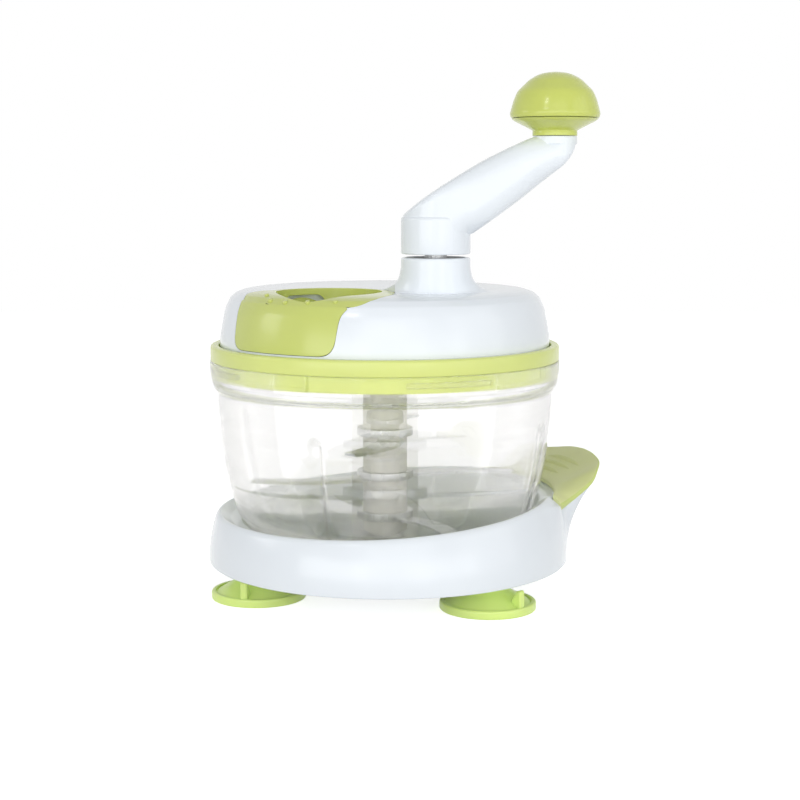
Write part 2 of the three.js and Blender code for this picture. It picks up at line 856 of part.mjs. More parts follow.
// The height of the pad's top at a radius and an angle from its middle.
function padTop(radius, away) {
  const [, , edge, middle, inner] = padSection(tab.azimuth + away);
  const [low, high] = radius > middle[0] ? [middle, edge] : [inner, middle];
  return low[1] + ((high[1] - low[1]) * (radius - low[0])) / (high[0] - low[0]);
}

// A crescent rib on the pad: widest in its middle and pointed at both ends.
function padRibSolid(reach, frontTurn) {
  const span = padRib.backTurn + frontTurn;
  const turns = [...evenTurns(padRib.steps, -frontTurn, span), padRib.backTurn];
  const section = (azimuth) => {
    const turn = azimuth - tab.azimuth;
    const way = (turn + frontTurn) / span;
    const swell = Math.max(Math.sin(Math.PI * way), gap / padRib.width);
    const half = (padRib.width * swell) / 2;
    const top = padTop(reach, Math.abs(turn));
    const sunk = top - pad.thickness / 2;
    return [[reach - half, sunk], [reach + half, sunk], [reach + half / 3, top + padRib.rise * swell],
      [reach - half / 3, top + padRib.rise * swell]];
  };
  return polarSolid(section, turns.map((turn) => turn + tab.azimuth), false);
}

// One end of the lever, seen from the side and given its thickness.
function leverEnd(side) {
  const x = axisReach;
  const { axisHeight: z, barrelRadius, noseRadius, noseReach, noseDrop } = lever;
  const top = rimHeight(tab.halfSpan) - pad.thickness / 2;
  const ear = [
    [x - barrelRadius / 2, z - barrelRadius],
    [x + barrelRadius, z - barrelRadius / 2],
    [x + lever.earOuter, z + barrelRadius],
    [x + lever.earOuter, top - pad.thickness],
    [x + lever.earInner, top],
    [x + lever.earInner, z + barrelRadius],
    [x - barrelRadius / 2, z + barrelRadius],
  ];
  const flat = (outline) => prism(outline, 0, lever.earThickness);
  const barrel = flat(circlePoints(barrelRadius, x, z, coarse));
  const nose = flat(strapPoints(noseRadius, Math.hypot(noseReach, noseDrop), noseRadius, curveSteps))
    .rotateZ(Math.atan2(-noseDrop, -noseReach))
    .translate(x, z, 0);
  const boreOutline = circlePoints(lever.pinRadius + gap, x, z, coarse);
  const bore = prism(boreOutline, -overrun, lever.earThickness + overrun);
  const upright = cut(join(flat(ear), barrel, nose), bore).rotateX(Math.PI / 2);
  return upright.translate(0, side > 0 ? leverHalfSpan : lever.earThickness - leverHalfSpan, 0);
}

function suctionLever() {
  const plateau = polarSolid(padSection, tabTurns.map((turn) => turn + tab.azimuth), false);
  const ribs = padRib.outsets.map((outset, i) => padRibSolid(padInner + outset, padRib.frontTurns[i]));
  const ends = [1, -1].map((side) => leverEnd(side).rotateZ(tab.azimuth * degree));
  return join(plateau, ...ribs, ...ends);
}

add('suction_lever', suctionLever(), finish.olive);

function leverPin(side) {
  const innerEnd = leverHalfSpan - lever.earThickness - gap - lug.thickness + gap;
  return rod(lever.pinRadius, 0, lever.pinLength)
    .rotateX(-Math.PI / 2 * side)
    .translate(axisReach, side * innerEnd, lever.axisHeight)
    .rotateZ(tab.azimuth * degree);
}

add('lever_pin_back', leverPin(1), finish.steel);
add('lever_pin_front', leverPin(-1), finish.steel);

// Clear bowl

// How far a flute draws the bowl's wall in at an azimuth and a height.
function fluteDraw(azimuth, height) {
  const away = Math.min(...flute.azimuths.map((at) => Math.abs(turnBetween(azimuth, at)))) / flute.halfTurn;
  if (away >= 1) return 0;
  const fade = Math.min(Math.max((flute.top - height) / flute.topFade, 0), 1);
  return flute.depth * (1 - away * away) * fade;
}

function bowlSection(azimuth) {
  const outer = bowlOutline();
  const wall = offsetLine(outer, bowl.wall).slice(0, -bowl.rimRows);
  const inner = thinned(wall, bowl.plainRows).reverse();
  const rim = [[bowl.radius, bowlTop], [bowlRimInner, bowlTop], [bowlRimInner, bowlTop - bowl.rimDepth]];
  const walls = (points) => points.map(([radius, height]) => [radius - fluteDraw(azimuth, height), height]);
  return [[0, bowl.foot], ...walls(outer), ...rim, ...walls(inner), [0, bowlFloor]];
}

const quarterTurn = 90;
const bowlTurns = flute.azimuths.flatMap((azimuth, i) => [
  ...fluteShares.map((share) => azimuth + share * flute.halfTurn),
  ...evenTurns(flute.between, azimuth + flute.halfTurn, quarterTurn - 2 * flute.halfTurn).slice(1),
]);

// A block that follows a circle: between two radii, two heights and round a turn.
function curvedBlock([inner, outer], [bottom, top], azimuth, turn, steps = 5) {
  const section = () => [[inner, bottom], [outer, bottom], [outer, top], [inner, top]];
  const azimuths = Array.from({ length: steps + 1 }, (_, i) => azimuth - turn / 2 + (turn * i) / steps);
  return polarSolid(section, azimuths, false);
}

const quarters = evenTurns(360 / quarterTurn);

function clearBowl() {
  const ribs = quarters.map((quarter) => curvedBlock(
    [bowlRimInner - bowlRib.depth, bowlRimInner + bowlRib.depth],
    [bowlTop - bowlRib.drop, bowlTop - bowlRib.drop + bowlRib.height],
    bowlRib.azimuth + quarter,
    bowlRib.turn,
  ));
  return join(polarSolid(bowlSection, bowlTurns), ...ribs);
}

add('bowl', clearBowl(), finish.clear);

const pivotFloor = bowlFloor + gap;
const pivotTop = pivotFloor + pivot.height;
add('bowl_pivot_pin', revolve([
  [0, pivotFloor],
  [pivot.flangeRadius, pivotFloor],
  [pivot.flangeRadius, pivotFloor + pivot.flangeThickness],
  [pivot.radius, pivotFloor + pivot.flangeThickness],
  [pivot.radius, pivotTop],
  [0, pivotTop],
], medium), finish.grey);

// Lid ring

const floorBottom = ring.floorTop - ring.floorThickness;
const shaftBore = shaft.radius + gap;
const postBore = shaftBore + bush.wall + gap;
const pinionBore = pinionHub.radius + gap * 2 + bush.wall;
const chuteSpan = (margin) => [
  [chute.x - chute.width / 2 - margin, chute.x + chute.width / 2 + margin],
  [chute.y - chute.length / 2 - margin, chute.y + chute.length / 2 + margin],
];

function lidRing() {
  const body = revolve([
    [0, floorBottom],
    [skirtOuter - ring.skirtWall, floorBottom],
    [skirtOuter - ring.skirtWall, ring.skirtBottom],
    [skirtOuter, ring.skirtBottom],
    [skirtOuter, gap],
    [ringOuter, gap],
    [ringOuter, ring.crown - ring.edge],
    [ringOuter - ring.edge, ring.crown],
    [ringInner, ring.crown],
    [ringInner, ring.floorTop],
    [0, ring.floorTop],
  ], fine);
  const lugs = quarters.flatMap((quarter) => {
    const radii = [skirtOuter - ring.skirtWall / 2, skirtOuter + bayonet.reach];
    const azimuth = bayonet.azimuth + quarter;
    const stopAzimuth = azimuth + (bayonet.turn - bayonet.stopTurn) / 2;
    const heights = (tall) => [ring.skirtBottom, ring.skirtBottom + tall];
    return [
      curvedBlock(radii, heights(bayonet.height), azimuth, bayonet.turn),
      curvedBlock(radii, heights(bayonet.stopHeight), stopAzimuth, bayonet.stopTurn, 1),
    ];
  });
  const postTop = ring.floorTop + post.height;
  const bearing = rod(post.radius, floorBottom, postTop, medium).translate(neck.x, neck.y, 0);
  const holes = [
    rod(postBore, ring.floorTop, postTop + overrun, medium).translate(neck.x, neck.y, 0),
    rod(pinionBore, floorBottom - overrun, ring.floorTop + overrun, medium),
    block(...chuteSpan(gap), [floorBottom - overrun, ring.floorTop + overrun]),
    ...lidScrew.azimuths.map((azimuth) => rod(lidScrew.shankRadius + gap, floorBottom - overrun, ring.crown)
      .translate(lidScrewOrbit, 0, 0)
      .rotateZ(azimuth * degree)),
  ];
  return cut(join(body, ...lugs, bearing), ...holes);
}

addAboveRim('lid_ring', lidRing(), finish.paleGreen);

lidScrew.azimuths.forEach((azimuth, i) => {
  const headBottom = floorBottom - gap - lidScrew.headThickness;
  const fastener = screw(lidScrew, lidScrew.length).translate(lidScrewOrbit, 0, headBottom);
  addAboveRim(`lid_screw_${i + 1}`, fastener.rotateZ(azimuth * degree), finish.steel);
});

// Lid cover with its neck, and the filler insert that is let into it

const coverOutline = coverShares.map(([reachShare, riseShare]) =>
  [coverRadius * reachShare, cover.bottom + (cover.top - cover.bottom) * riseShare]);

function coverShell() {
  const inner = thinned(offsetLine(coverOutline, cover.wall), cover.plainRows).reverse();
  return revolve([...coverOutline, [0, cover.top], [0, cover.top - cover.wall], ...inner, coverOutline[0]], fine);
}

// The flare round the neck's foot: full at the back and sides, none at the front.
function neckSection(azimuth) {
  const front = Math.cos(turnBetween(azimuth, -90) * degree);
  const flare = neck.flare * Math.min(Math.max((1 - front) * neck.flareShare, 0), 1);
  const inner = neck.radius - neck.wall;
  return [
    [inner, cover.top - cover.wall],
    [neck.radius + flare, cover.top - cover.wall],
    ...flareOutlineShares.map(([out, up]) => [neck.radius + flare * out, cover.top + neck.flareRise * up]),
    [neck.radius, neck.top - neck.edge],
    [neck.radius - neck.edge, neck.top],
    [inner, neck.top],
  ];
}

// Offsets a closed outline outwards.
function grownOutline(points, distance) {
  const count = points.length;
  return points.map(([x, y], i) => {
    const before = points[(i + count - 1) % count];
    const after = points[(i + 1) % count];
    const share = distance / Math.hypot(after[0] - before[0], after[1] - before[1]);
    return [x + share * (after[1] - before[1]), y - share * (after[0] - before[0])];
  });
}

// The insert's outline on the deck, anticlockwise from its right tip.
function insertDeckOutline() {
  const wellPoints = arcPoints(well.radius + insert.margin, ...well.backTurns, well.steps, well.x, well.y);
  const polar = (reach, azimuth) => arcPoints(reach, azimuth, azimuth, 1)[0];
  const halfTurn = Math.asin(insert.width / 2 / coverRadius) / degree;
  const right = insert.azimuth + halfTurn;
  const left = insert.azimuth - halfTurn;
  const edge = new THREE.QuadraticBezierCurve(
    new THREE.Vector2(...polar(creaseReach, right + insert.flareTurn)),
    new THREE.Vector2(...insert.bend),
    new THREE.Vector2(...insert.rightTip),
  ).getPoints(curveSteps).map(({ x, y }) => [x, y]);
  return [
    ...edge,
    ...wellPoints,
    insert.leftTip,
    polar(creaseReach, left),
    polar(coverRadius + insert.depth, left),
    polar(coverRadius + insert.depth, insert.azimuth),
    polar(coverRadius + insert.depth, right + insert.flareTurn),
  ];
}

// The insert's panel on the side wall, as a cutter along the panel's own direction.
function insertPanelCutter(margin) {
  const half = insert.width / 2 + margin;
  const low = insert.bottom - margin;
  const high = insert.creaseHeight + insert.skin;
  const r = insert.cornerRadius;
  const floorHalf = half - insert.taper / 2;
  const flareRise = insert.creaseHeight + gap - insert.flareStart;
  const outline = [
    ...arcPoints(r, 180, 270, insert.cornerSteps, -floorHalf + r, low + r),
    ...arcPoints(r, 270, 360, insert.cornerSteps, floorHalf - r, low + r),
    ...panelFlareShares.map(([out, up]) =>
      [half + insert.flareReach * out, insert.flareStart + flareRise * up]),
    [half + insert.flareReach, high],
    [-half, high],
  ];
  return prism(outline, coverRadius - insert.depth, coverRadius + insert.depth)
    .rotateX(Math.PI / 2)
    .rotateZ(Math.PI / 2)
    .rotateZ(insert.azimuth * degree);
}

function insertCutter(margin) {
  const deck = prism(grownOutline(insertDeckOutline(), margin), insert.creaseHeight - margin,
    cover.top + neck.flareRise);
  return join(deck, insertPanelCutter(margin));
}

// The height of the cover's outside at a distance from the axis.
function coverHeightAt(reach) {
  const [share] = shareAt([...coverShares].reverse(), reach / coverRadius);
  return cover.bottom + (cover.top - cover.bottom) * share;
}

// The well's outline: round at the back, drawn out at the front.
function wellOutline(margin) {
  return evenTurns(fine).map((azimuth) => {
    const forward = Math.max(Math.cos(turnBetween(azimuth, well.frontAzimuth) * degree), 0) ** 2;
    const [x, y] = arcPoints(well.radius + margin, azimuth, azimuth, 1)[0];
    const [outX, outY] = arcPoints(well.front * forward, well.frontAzimuth, well.frontAzimuth, 1)[0];
    return [x + outX, y + outY];
  });
}

function fillerInsert() {
  const skin = common(coverShell(), insertCutter(0));
  const floor = cover.top - well.depth;
  const at = (geometry) => geometry.translate(well.x, well.y, 0);
  const under = revolve([...coverOutline, [0, cover.top], [0, cover.bottom], coverOutline[0]], fine)
    .translate(0, 0, -gap);
  const cupSolid = common(at(prism(wellOutline(well.wall), floor - well.wall, cover.top)), under);
  const hollow = at(prism(wellOutline(0), floor, cover.top + overrun));
  const window = at(curvedBlock(
    [well.radius - overrun, well.radius + well.wall + overrun],
    [floor + well.wall / 2, cover.top - well.windowDrop],
    well.windowAzimuth,
    well.windowTurn,
  ));
  const slot = at(cut(
    rod(well.radius - well.wall, floor - well.wall - overrun, floor + overrun, medium),
    rod(well.radius, floor - well.wall - overrun, floor + overrun, medium).translate(well.slotShift, 0, 0),
  ));
  const dots = panelDotShares.map(([reachShare, azimuth]) => {
    const reach = coverRadius * reachShare;
    return rod(panelDot.radius, -panelDot.rise, panelDot.rise, panelDot.sides)
      .rotateY(panelDot.lean * degree)
      .translate(reach, 0, coverHeightAt(reach))
      .rotateZ(azimuth * degree);
  });
  return cut(join(skin, cupSolid, ...dots), hollow, slot, window);
}

function lidCover() {
  const neckWall = polarSolid(neckSection, evenTurns(fine / 2)).translate(neck.x, neck.y, 0);
  const neckInner = neck.radius - neck.wall;
  const neckHole = rod(neckInner, cover.top - cover.wall - overrun, cover.top + overrun, fine / 2)
    .translate(neck.x, neck.y, 0);
  const { shankRadius, bossRadius, roofDrop } = lidScrew;
  const screwBosses = lidScrew.azimuths.map((azimuth) =>
    tube(shankRadius + gap, bossRadius, cover.bottom, cover.top - roofDrop, coarse)
      .translate(lidScrewOrbit, 0, 0)
      .rotateZ(azimuth * degree));
  const pinionBoss = tube(
    pinionHub.radius + gap,
    pinionHub.radius + gap + bush.wall,
    train.bottom + train.height + gap * 3,
    cover.top - cover.wall / 2,
  );
  const screenInner = well.radius + insert.margin + gap * 2;
  const screen = curvedBlock(
    [screenInner, screenInner + well.wall],
    [cover.top - well.depth, cover.top - cover.wall / 2],
    well.windowAzimuth,
    well.windowTurn,
  ).translate(well.x, well.y, 0);
  const wall = cut(join(coverShell(), neckWall), insertCutter(gap), neckHole);
  return join(wall, ...screwBosses, pinionBoss, screen);
}

addAboveRim('lid_cover', lidCover(), finish.white);
addAboveRim('filler_insert', fillerInsert(), finish.green);

function fillerChute() {
  const top = cover.top - well.depth - well.wall - gap;
  const bottom = floorBottom - gap;
  const flange = block(...chuteSpan(chute.flange), [ring.floorTop + gap, ring.floorTop + gap + chute.wall]);
  const outer = block(...chuteSpan(0), [bottom, top]);
  const inner = block(...chuteSpan(-chute.wall), [bottom - overrun, top + overrun]);
  return cut(join(flange, outer), inner);
}

addAboveRim('filler_chute', fillerChute(), finish.white);

// Gears, shafts and bushes

const crankPitch = (train.crankTeeth * train.module) / 2;
const pinionPitch = (train.pinionTeeth * train.module) / 2;

// A gear's outline, with one tooth centred on the given angle. Flanks are straight.
function gearOutline(teeth, pitchRadius, toothAngle) {
  const half = (Math.PI * train.module) / 4 - train.play / 2;
  const tip = half - train.module * Math.tan(train.pressureAngle * degree);
  const root = half + train.rootShare * train.module * Math.tan(train.rootAngle * degree);
  const tipRadius = pitchRadius + train.module;
  const rootRadius = pitchRadius - train.rootShare * train.module;
  const corners = [[rootRadius, -root], [tipRadius, -tip], [tipRadius, tip], [rootRadius, root]];
  return Array.from({ length: teeth }, (_, i) => corners.map(([radius, across]) => {
    const angle = toothAngle * degree + (2 * Math.PI * i) / teeth + across / radius;
    return [radius * Math.cos(angle), radius * Math.sin(angle)];
  })).flat();
}

const meshAngle = Math.atan2(neck.y, neck.x) / degree;
const gearTop = train.bottom + train.height;

function crankGear() {
  const gapAngle = meshAngle + 180 + 180 / train.crankTeeth;
  const bore = circlePoints(shaftBore, 0, 0, medium);
  const wheel = prism(gearOutline(train.crankTeeth, crankPitch, gapAngle), train.bottom, gearTop, [bore]);
  const hub = tube(shaftBore, crankHub.radius, crankHub.bottom, crankHub.top, medium);
  return join(wheel, hub).translate(neck.x, neck.y, 0);
}

addAboveRim('crank_gear', crankGear(), finish.grey);

const hexagon = (across) => circlePoints(across / Math.sqrt(3), 0, 0, 6);

function pinionSolid() {
  const wheel = prism(gearOutline(train.pinionTeeth, pinionPitch, meshAngle), train.bottom, gearTop);
  const hub = rod(pinionHub.radius, pinionHub.bottom, pinionHub.top, medium);
  const bore = prism(hexagon(driver.across + gap * 2), pinionHub.bottom - overrun, driver.top + gap);
  return cut(join(wheel, hub), bore);
}

addAboveRim('pinion', pinionSolid(), finish.grey);
addAboveRim('drive_shaft', prism(hexagon(driver.across), driver.bottom, driver.top), finish.steel);

addAboveRim('pinion_bush', revolve([
  [pinionHub.radius + gap, floorBottom],
  [pinionHub.radius + gap + bush.wall, floorBottom],
  [pinionHub.radius + gap + bush.wall, ring.floorTop + gap],
  [bush.flangeRadius, ring.floorTop + gap],
  [bush.flangeRadius, ring.floorTop + gap + bush.flange],
  [pinionHub.radius + gap, ring.floorTop + gap + bush.flange],
  [pinionHub.radius + gap, floorBottom],
], medium), finish.grey);

const shaftBushSpan = [ring.floorTop + gap, ring.floorTop + post.height];
addAboveRim('shaft_bush', tube(shaftBore, shaftBore + bush.wall, ...shaftBushSpan)
  .translate(neck.x, neck.y, 0), finish.grey);

const neckBushTop = neck.top - gap;
addAboveRim('neck_bush', revolve([
  [shaftBore, neckBush.bottom],
  [shaftBore + neckBush.wall, neckBush.bottom],
  [shaftBore + neckBush.wall, neckBushTop - neckBush.collar],
  [neck.radius - neck.wall - gap, neckBushTop - neckBush.collar],
  [neck.radius - neck.wall - gap, neckBushTop],
  [shaftBore, neckBushTop],
  [shaftBore, neckBush.bottom],
], medium).translate(neck.x, neck.y, 0), finish.grey);

function crankShaft() {
  const groove = clip.thickness + gap * 2;
  return revolve([
    [0, shaft.bottom],
    [shaft.radius, shaft.bottom],
    [shaft.radius, shaft.grooveHeight],
    [shaft.radius - clip.grooveDepth, shaft.grooveHeight],
    [shaft.radius - clip.grooveDepth, shaft.grooveHeight + groove],
    [shaft.radius, shaft.grooveHeight + groove],
    [shaft.radius, shaft.top],
    [0, shaft.top],
  ], medium).translate(neck.x, neck.y, 0);
}

addAboveRim('crank_shaft', crankShaft(), finish.steel);

// A retaining clip: a flat ring with a mouth, in the shaft's groove.
function shaftClip() {
  const halfMouth = Math.asin(clip.opening / 2 / clip.radius) / degree;
  const outer = arcPoints(clip.radius, halfMouth, 360 - halfMouth, medium);
  const innerRadius = shaft.radius - clip.grooveDepth + gap;
  const inner = arcPoints(innerRadius, 360 - halfMouth * 2, halfMouth * 2, medium);
  const floor = shaft.grooveHeight + gap;
  return prism([...outer, ...inner], floor, floor + clip.thickness).translate(neck.x, neck.y, 0);
}

addAboveRim('shaft_clip', shaftClip(), finish.steel);

// Crank arm

function armSideOutline() {
  const height = arm.bossTop - arm.hubBottom;
  const at = ([out, up]) => [arm.throw * out, arm.hubBottom + height * up];
  return [
    [-neck.radius, arm.hubBottom],
    [neck.radius, arm.hubBottom],
    ...armLowerShares.map(at),
    [arm.throw + arm.bossRadius, arm.bossTop],
    ...armUpperShares.map(at).reverse(),
  ];
}

function crankArm() {
  const side = prism(armSideOutline(), -neck.radius - overrun, neck.radius + overrun).rotateX(Math.PI / 2);
  const strap = strapPoints(neck.radius - arm.step, arm.throw, arm.bossRadius, fine / 2);
  const plan = prism(strap, arm.hubBottom - overrun, arm.bossTop + overrun);
  const hub = rod(neck.radius, arm.hubBottom, arm.hubBottom + arm.hubHeight, fine);
  const socket = rod(shaftBore, arm.hubBottom - overrun, shaft.top + gap, medium);
  const spindleHole = rod(spindle.radius + gap, spindle.seat - gap, arm.bossTop + overrun)
    .translate(arm.throw, 0, 0);
  return cut(join(common(side, plan), hub), socket, spindleHole).translate(neck.x, neck.y, 0);
}

addAboveRim('crank_arm', crankArm(), finish.white);

// Knob

const knobHeight = knob.top - knob.bottom;
const knobAt = (geometry) => geometry.translate(neck.x + arm.throw, neck.y, 0);
const knobOutline = knobShares.map(([out, up]) => [knob.radius * out, knob.bottom + knobHeight * up]);
const splitHeight = knob.bottom + knobHeight * knob.splitShare;

// The knob's outer radius where its two halves meet.
function splitRadius() {
  const above = knobOutline.findIndex(([, height]) => height > splitHeight);
  const [lowRadius, low] = knobOutline[above - 1];
  const [highRadius, high] = knobOutline[above];
  return lowRadius + ((highRadius - lowRadius) * (splitHeight - low)) / (high - low);
}

const coreTop = knob.bottom + knobCore.height;
const spindleBore = spindle.radius + gap;

function knobBase() {
  const rim = splitRadius();
  const outer = [...knobOutline.filter(([, height]) => height < splitHeight - gap), [rim, splitHeight]];
  const cone = outer.slice(knob.footRows).map(([radius, height]) => [radius - knob.wall, height]).reverse();
  return revolve([
    [spindleBore, knob.bottom],
    ...outer,
    ...cone,
    [knobCore.radius, knob.bottom + knob.wall],
    [knobCore.radius, coreTop],
    [spindleBore, coreTop],
    [spindleBore, knob.bottom],
  ], knobSides);
}

function knobCap() {
  const above = knobOutline.filter(([, height]) => height > splitHeight + gap);
  const outer = [[splitRadius(), splitHeight + gap], ...above];
  const inner = offsetLine(outer, knob.wall).reverse();
  inner[inner.length - 1][1] = splitHeight + gap;
  return revolve([...outer, [0, knob.top], [0, knob.top - knob.wall], ...inner, outer[0]], knobSides);
}

addAboveRim('knob_base', knobAt(knobBase()), finish.green);
addAboveRim('knob_cap', knobAt(knobCap()), finish.green);

const headFloor = coreTop + gap;
addAboveRim('knob_spindle', knobAt(revolve([
  [0, spindle.seat],
  [spindle.radius, spindle.seat],
  [spindle.radius, headFloor],
  [spindle.headRadius, headFloor],
  [spindle.headRadius, headFloor + spindle.headThickness],
  [0, headFloor + spindle.headThickness],
], coarse)), finish.steel);

// Blade column and blades

const columnBottom = pivotFloor + pivot.flangeThickness + gap;
const socketFloor = columnTop - column.socketDepth;

function bladeColumn() {
  return revolve([
    [0, pivotTop + gap],
    [pivot.radius + gap, pivotTop + gap],
    [pivot.radius + gap, columnBottom],
    [column.radius, columnBottom],
    [column.radius, columnTop],
    [column.socketRadius, columnTop],
    [column.socketRadius, socketFloor],
    [0, socketFloor],
  ], medium);
}

add('blade_column', bladeColumn(), finish.grey);

add('drive_socket', prism(
  circlePoints(column.socketRadius - gap, 0, 0, medium),
  columnTop - columnCap.height,
  columnTop,
  [hexagon(driver.across + gap * 4)],
), finish.grey);

// A sickle-shaped wing from the hub: the cutting edge is the bulging one.
function bladeWing(reach) {
  const sweep = reach * blade.sweep;
  const root = column.radius + blade.hubWall / 2;
  const curve = (start, middle, end) => new THREE.QuadraticBezierCurve(
    new THREE.Vector2(...start), new THREE.Vector2(...middle), new THREE.Vector2(...end),
  ).getPoints(curveSteps).map(({ x, y }) => [x, y]);
  const tip = [Math.sqrt(reach * reach - sweep * sweep), -sweep];
  const tipBack = [tip[0] * (1 - blade.tipShare / 4), tip[1] - blade.width * blade.tipShare];
  const bend = ([out, across]) => [reach * out, blade.width * across];
  const edge = curve([root * blade.rootShare, blade.width / 2], bend(bladeBendShares.edge), tip);
  const back = curve(tipBack, bend(bladeBendShares.back), [root * blade.rootShare, -blade.width / 2]);
  return [...back, ...edge];
}

function bladeSolid({ heightShare, reachShare, azimuth }) {
  const height = bowl.foot + bowl.height * heightShare;
  const top = height + blade.thickness;
  const hubTop = height + blade.thickness + blade.hubWall;
  const hub = rod(column.radius + gap + blade.hubWall, height, hubTop, medium);
  const wing = prism(bladeWing(bowl.radius * reachShare), height, top);
  const other = wing.clone().rotateZ(Math.PI);
  const bore = rod(column.radius + gap, height - overrun, hubTop + overrun, medium);
  return cut(join(hub, wing, other), bore).rotateZ(azimuth * degree);
}

for (const place of bladePlaces) add(`blade_${place.name}`, bladeSolid(place), finish.steel);

// Centre the object over its footprint.
const extent = new THREE.Box3().setFromObject(chopper);
chopper.position.set(-(extent.min.x + extent.max.x) / 2, -(extent.min.y + extent.max.y) / 2, -extent.min.z);

export default chopper;
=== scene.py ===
"""Looks of a hand-cranked food chopper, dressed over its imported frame.

Shapes are worked out in millimetres from the bowl's axis, with +Z up, and placed in metres in the frame.
"""
import logging
import math
from dataclasses import dataclass, field
from enum import Enum
from typing import Any, Callable, Sequence

import bmesh
import bpy
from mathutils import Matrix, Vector


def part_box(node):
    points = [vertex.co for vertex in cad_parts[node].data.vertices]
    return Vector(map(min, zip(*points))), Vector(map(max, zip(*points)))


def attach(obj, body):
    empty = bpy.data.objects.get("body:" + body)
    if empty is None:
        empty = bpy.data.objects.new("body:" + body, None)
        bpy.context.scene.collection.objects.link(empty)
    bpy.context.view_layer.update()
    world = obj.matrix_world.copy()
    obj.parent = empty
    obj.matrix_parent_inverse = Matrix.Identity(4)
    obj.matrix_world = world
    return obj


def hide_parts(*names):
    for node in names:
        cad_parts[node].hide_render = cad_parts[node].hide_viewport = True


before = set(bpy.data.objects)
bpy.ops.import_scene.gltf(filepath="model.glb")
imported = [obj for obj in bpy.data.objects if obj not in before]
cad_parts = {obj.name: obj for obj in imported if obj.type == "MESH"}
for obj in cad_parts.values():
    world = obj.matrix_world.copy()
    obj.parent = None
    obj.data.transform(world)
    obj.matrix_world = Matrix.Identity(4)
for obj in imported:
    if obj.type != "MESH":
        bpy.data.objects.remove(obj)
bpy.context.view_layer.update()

log = logging.getLogger("chopper")

Flat = tuple[float, float]
Point = tuple[float, float, float]
Colour = tuple[float, float, float]

METRES = 0.001
WELD = 2e-6
FINE_ROUND = 180
ROUND = 144
HUB_ROUND = 120
CUP_ROUND = 96
SMALL_ROUND = 64
PIN_ROUND = 40
CRISP_ANGLE = 32.0

PLASTIC_IOR = 1.49
CLOUDS = 26.0
RUBBING = 48.0
SINK_WAVES = 45.0
WAVE_DEPTH = 0.0004
NOISE_ROUGHNESS = 0.55
CORNER_SHARE = 0.49
MIX_SHARE, MIX_FIRST, MIX_SECOND, MIX_RESULT = 0, 6, 7, 2


def axis_place() -> Flat:
    """Reads where the bowl's axis stands in the frame, in millimetres."""
    low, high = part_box("blade_column")
    return (low[0] + high[0]) / 2 / METRES, (low[1] + high[1]) / 2 / METRES


AXIS = axis_place()


def in_frame(x: float, y: float, z: float) -> Point:
    """Turns a place in millimetres from the bowl's axis into the frame's metres."""
    return (x + AXIS[0]) * METRES, (y + AXIS[1]) * METRES, z * METRES


def blend(low: float, high: float, share: float) -> float:
    """Returns the value at a share of the way from low to high."""
    return low + (high - low) * share


def clamp(value: float, low: float = 0.0, high: float = 1.0) -> float:
    """Keeps a value between two others."""
    return max(low, min(high, value))


def ease(share: float) -> float:
    """Turns a straight share into one that starts and ends softly."""
    held = clamp(share)
    return held * held * (3 - 2 * held)


def spread(low: float, high: float, steps: int) -> list[float]:
    """Returns evenly spaced values from low to high, both included."""
    return [blend(low, high, i / steps) for i in range(steps + 1)]


def turn_between(azimuth: float, other: float) -> float:
    """Returns the signed turn in degrees from one azimuth to another."""
    return (azimuth - other + 180) % 360 - 180


def read(rows: Sequence[Sequence[float]], at: float, column: int = 1) -> float:
    """Reads a table between its rows, softly.

    Args:
        rows: Rows whose first value rises.
        at: Where to read.
        column: Which value to return.

    Returns:
        The value on a smooth curve through the rows.
    """
    held = clamp(at, rows[0][0], rows[-1][0])
    i = next((k for k in range(1, len(rows)) if rows[k][0] >= held), len(rows) - 1)
    near, far = rows[i - 1], rows[i]
    before, after = rows[max(i - 2, 0)], rows[min(i + 1, len(rows) - 1)]
    width = far[0] - near[0]
    share = (held - near[0]) / width
    slope_in = (far[column] - before[column]) / (far[0] - before[0]) * width
    slope_out = (after[column] - near[column]) / (after[0] - near[0]) * width
    two, three = share * share, share ** 3
    return ((2 * three - 3 * two + 1) * near[column] + (three - 2 * two + share) * slope_in
            + (3 * two - 2 * three) * far[column] + (three - two) * slope_out)


def flow(points: Sequence[Flat], steps: int = 4) -> list[Flat]:
    """Draws a smooth line through points.

    Args:
        points: What the line passes through.
        steps: Pieces between two points.

    Returns:
        The line's points, the first and last ones included.
    """
    line: list[Flat] = []
    last = len(points) - 1
    for i in range(last):
        a, b = points[max(i - 1, 0)], points[i]
        c, d = points[i + 1], points[min(i + 2, last)]
        for k in range(steps):
            t = k / steps
            line.append(tuple(
                0.5 * (2 * b[n] + (c[n] - a[n]) * t + (2 * a[n] - 5 * b[n] + 4 * c[n] - d[n]) * t * t
                       + (3 * b[n] - a[n] - 3 * c[n] + d[n]) * t ** 3) for n in (0, 1)))
    return [*line, tuple(points[-1])]


def rounded(corners: Sequence[Sequence[float]], closed: bool = True, steps: int = 4) -> list[Flat]:
    """Rounds the corners of an outline.

    Args:
        corners: Corners as x, y and, where it is rounded, the reach of the rounding.
        closed: Whether the last corner joins the first.
        steps: Pieces in each rounding.

    Returns:
        The outline's points.
    """
    line: list[Flat] = []
    last = len(corners) - 1
    for i, corner in enumerate(corners):
        here = Vector(corner[:2])
        if len(corner) < 3 or (not closed and i in (0, last)):
            line.append(tuple(here))
            continue
        back = Vector(corners[i - 1][:2]) - here
        ahead = Vector(corners[(i + 1) % len(corners)][:2]) - here
        start = here + back.normalized() * min(corner[2], back.length * CORNER_SHARE)
        end = here + ahead.normalized() * min(corner[2], ahead.length * CORNER_SHARE)
        line.extend(tuple(point) for point in curve((start, here, end), steps))
    return line


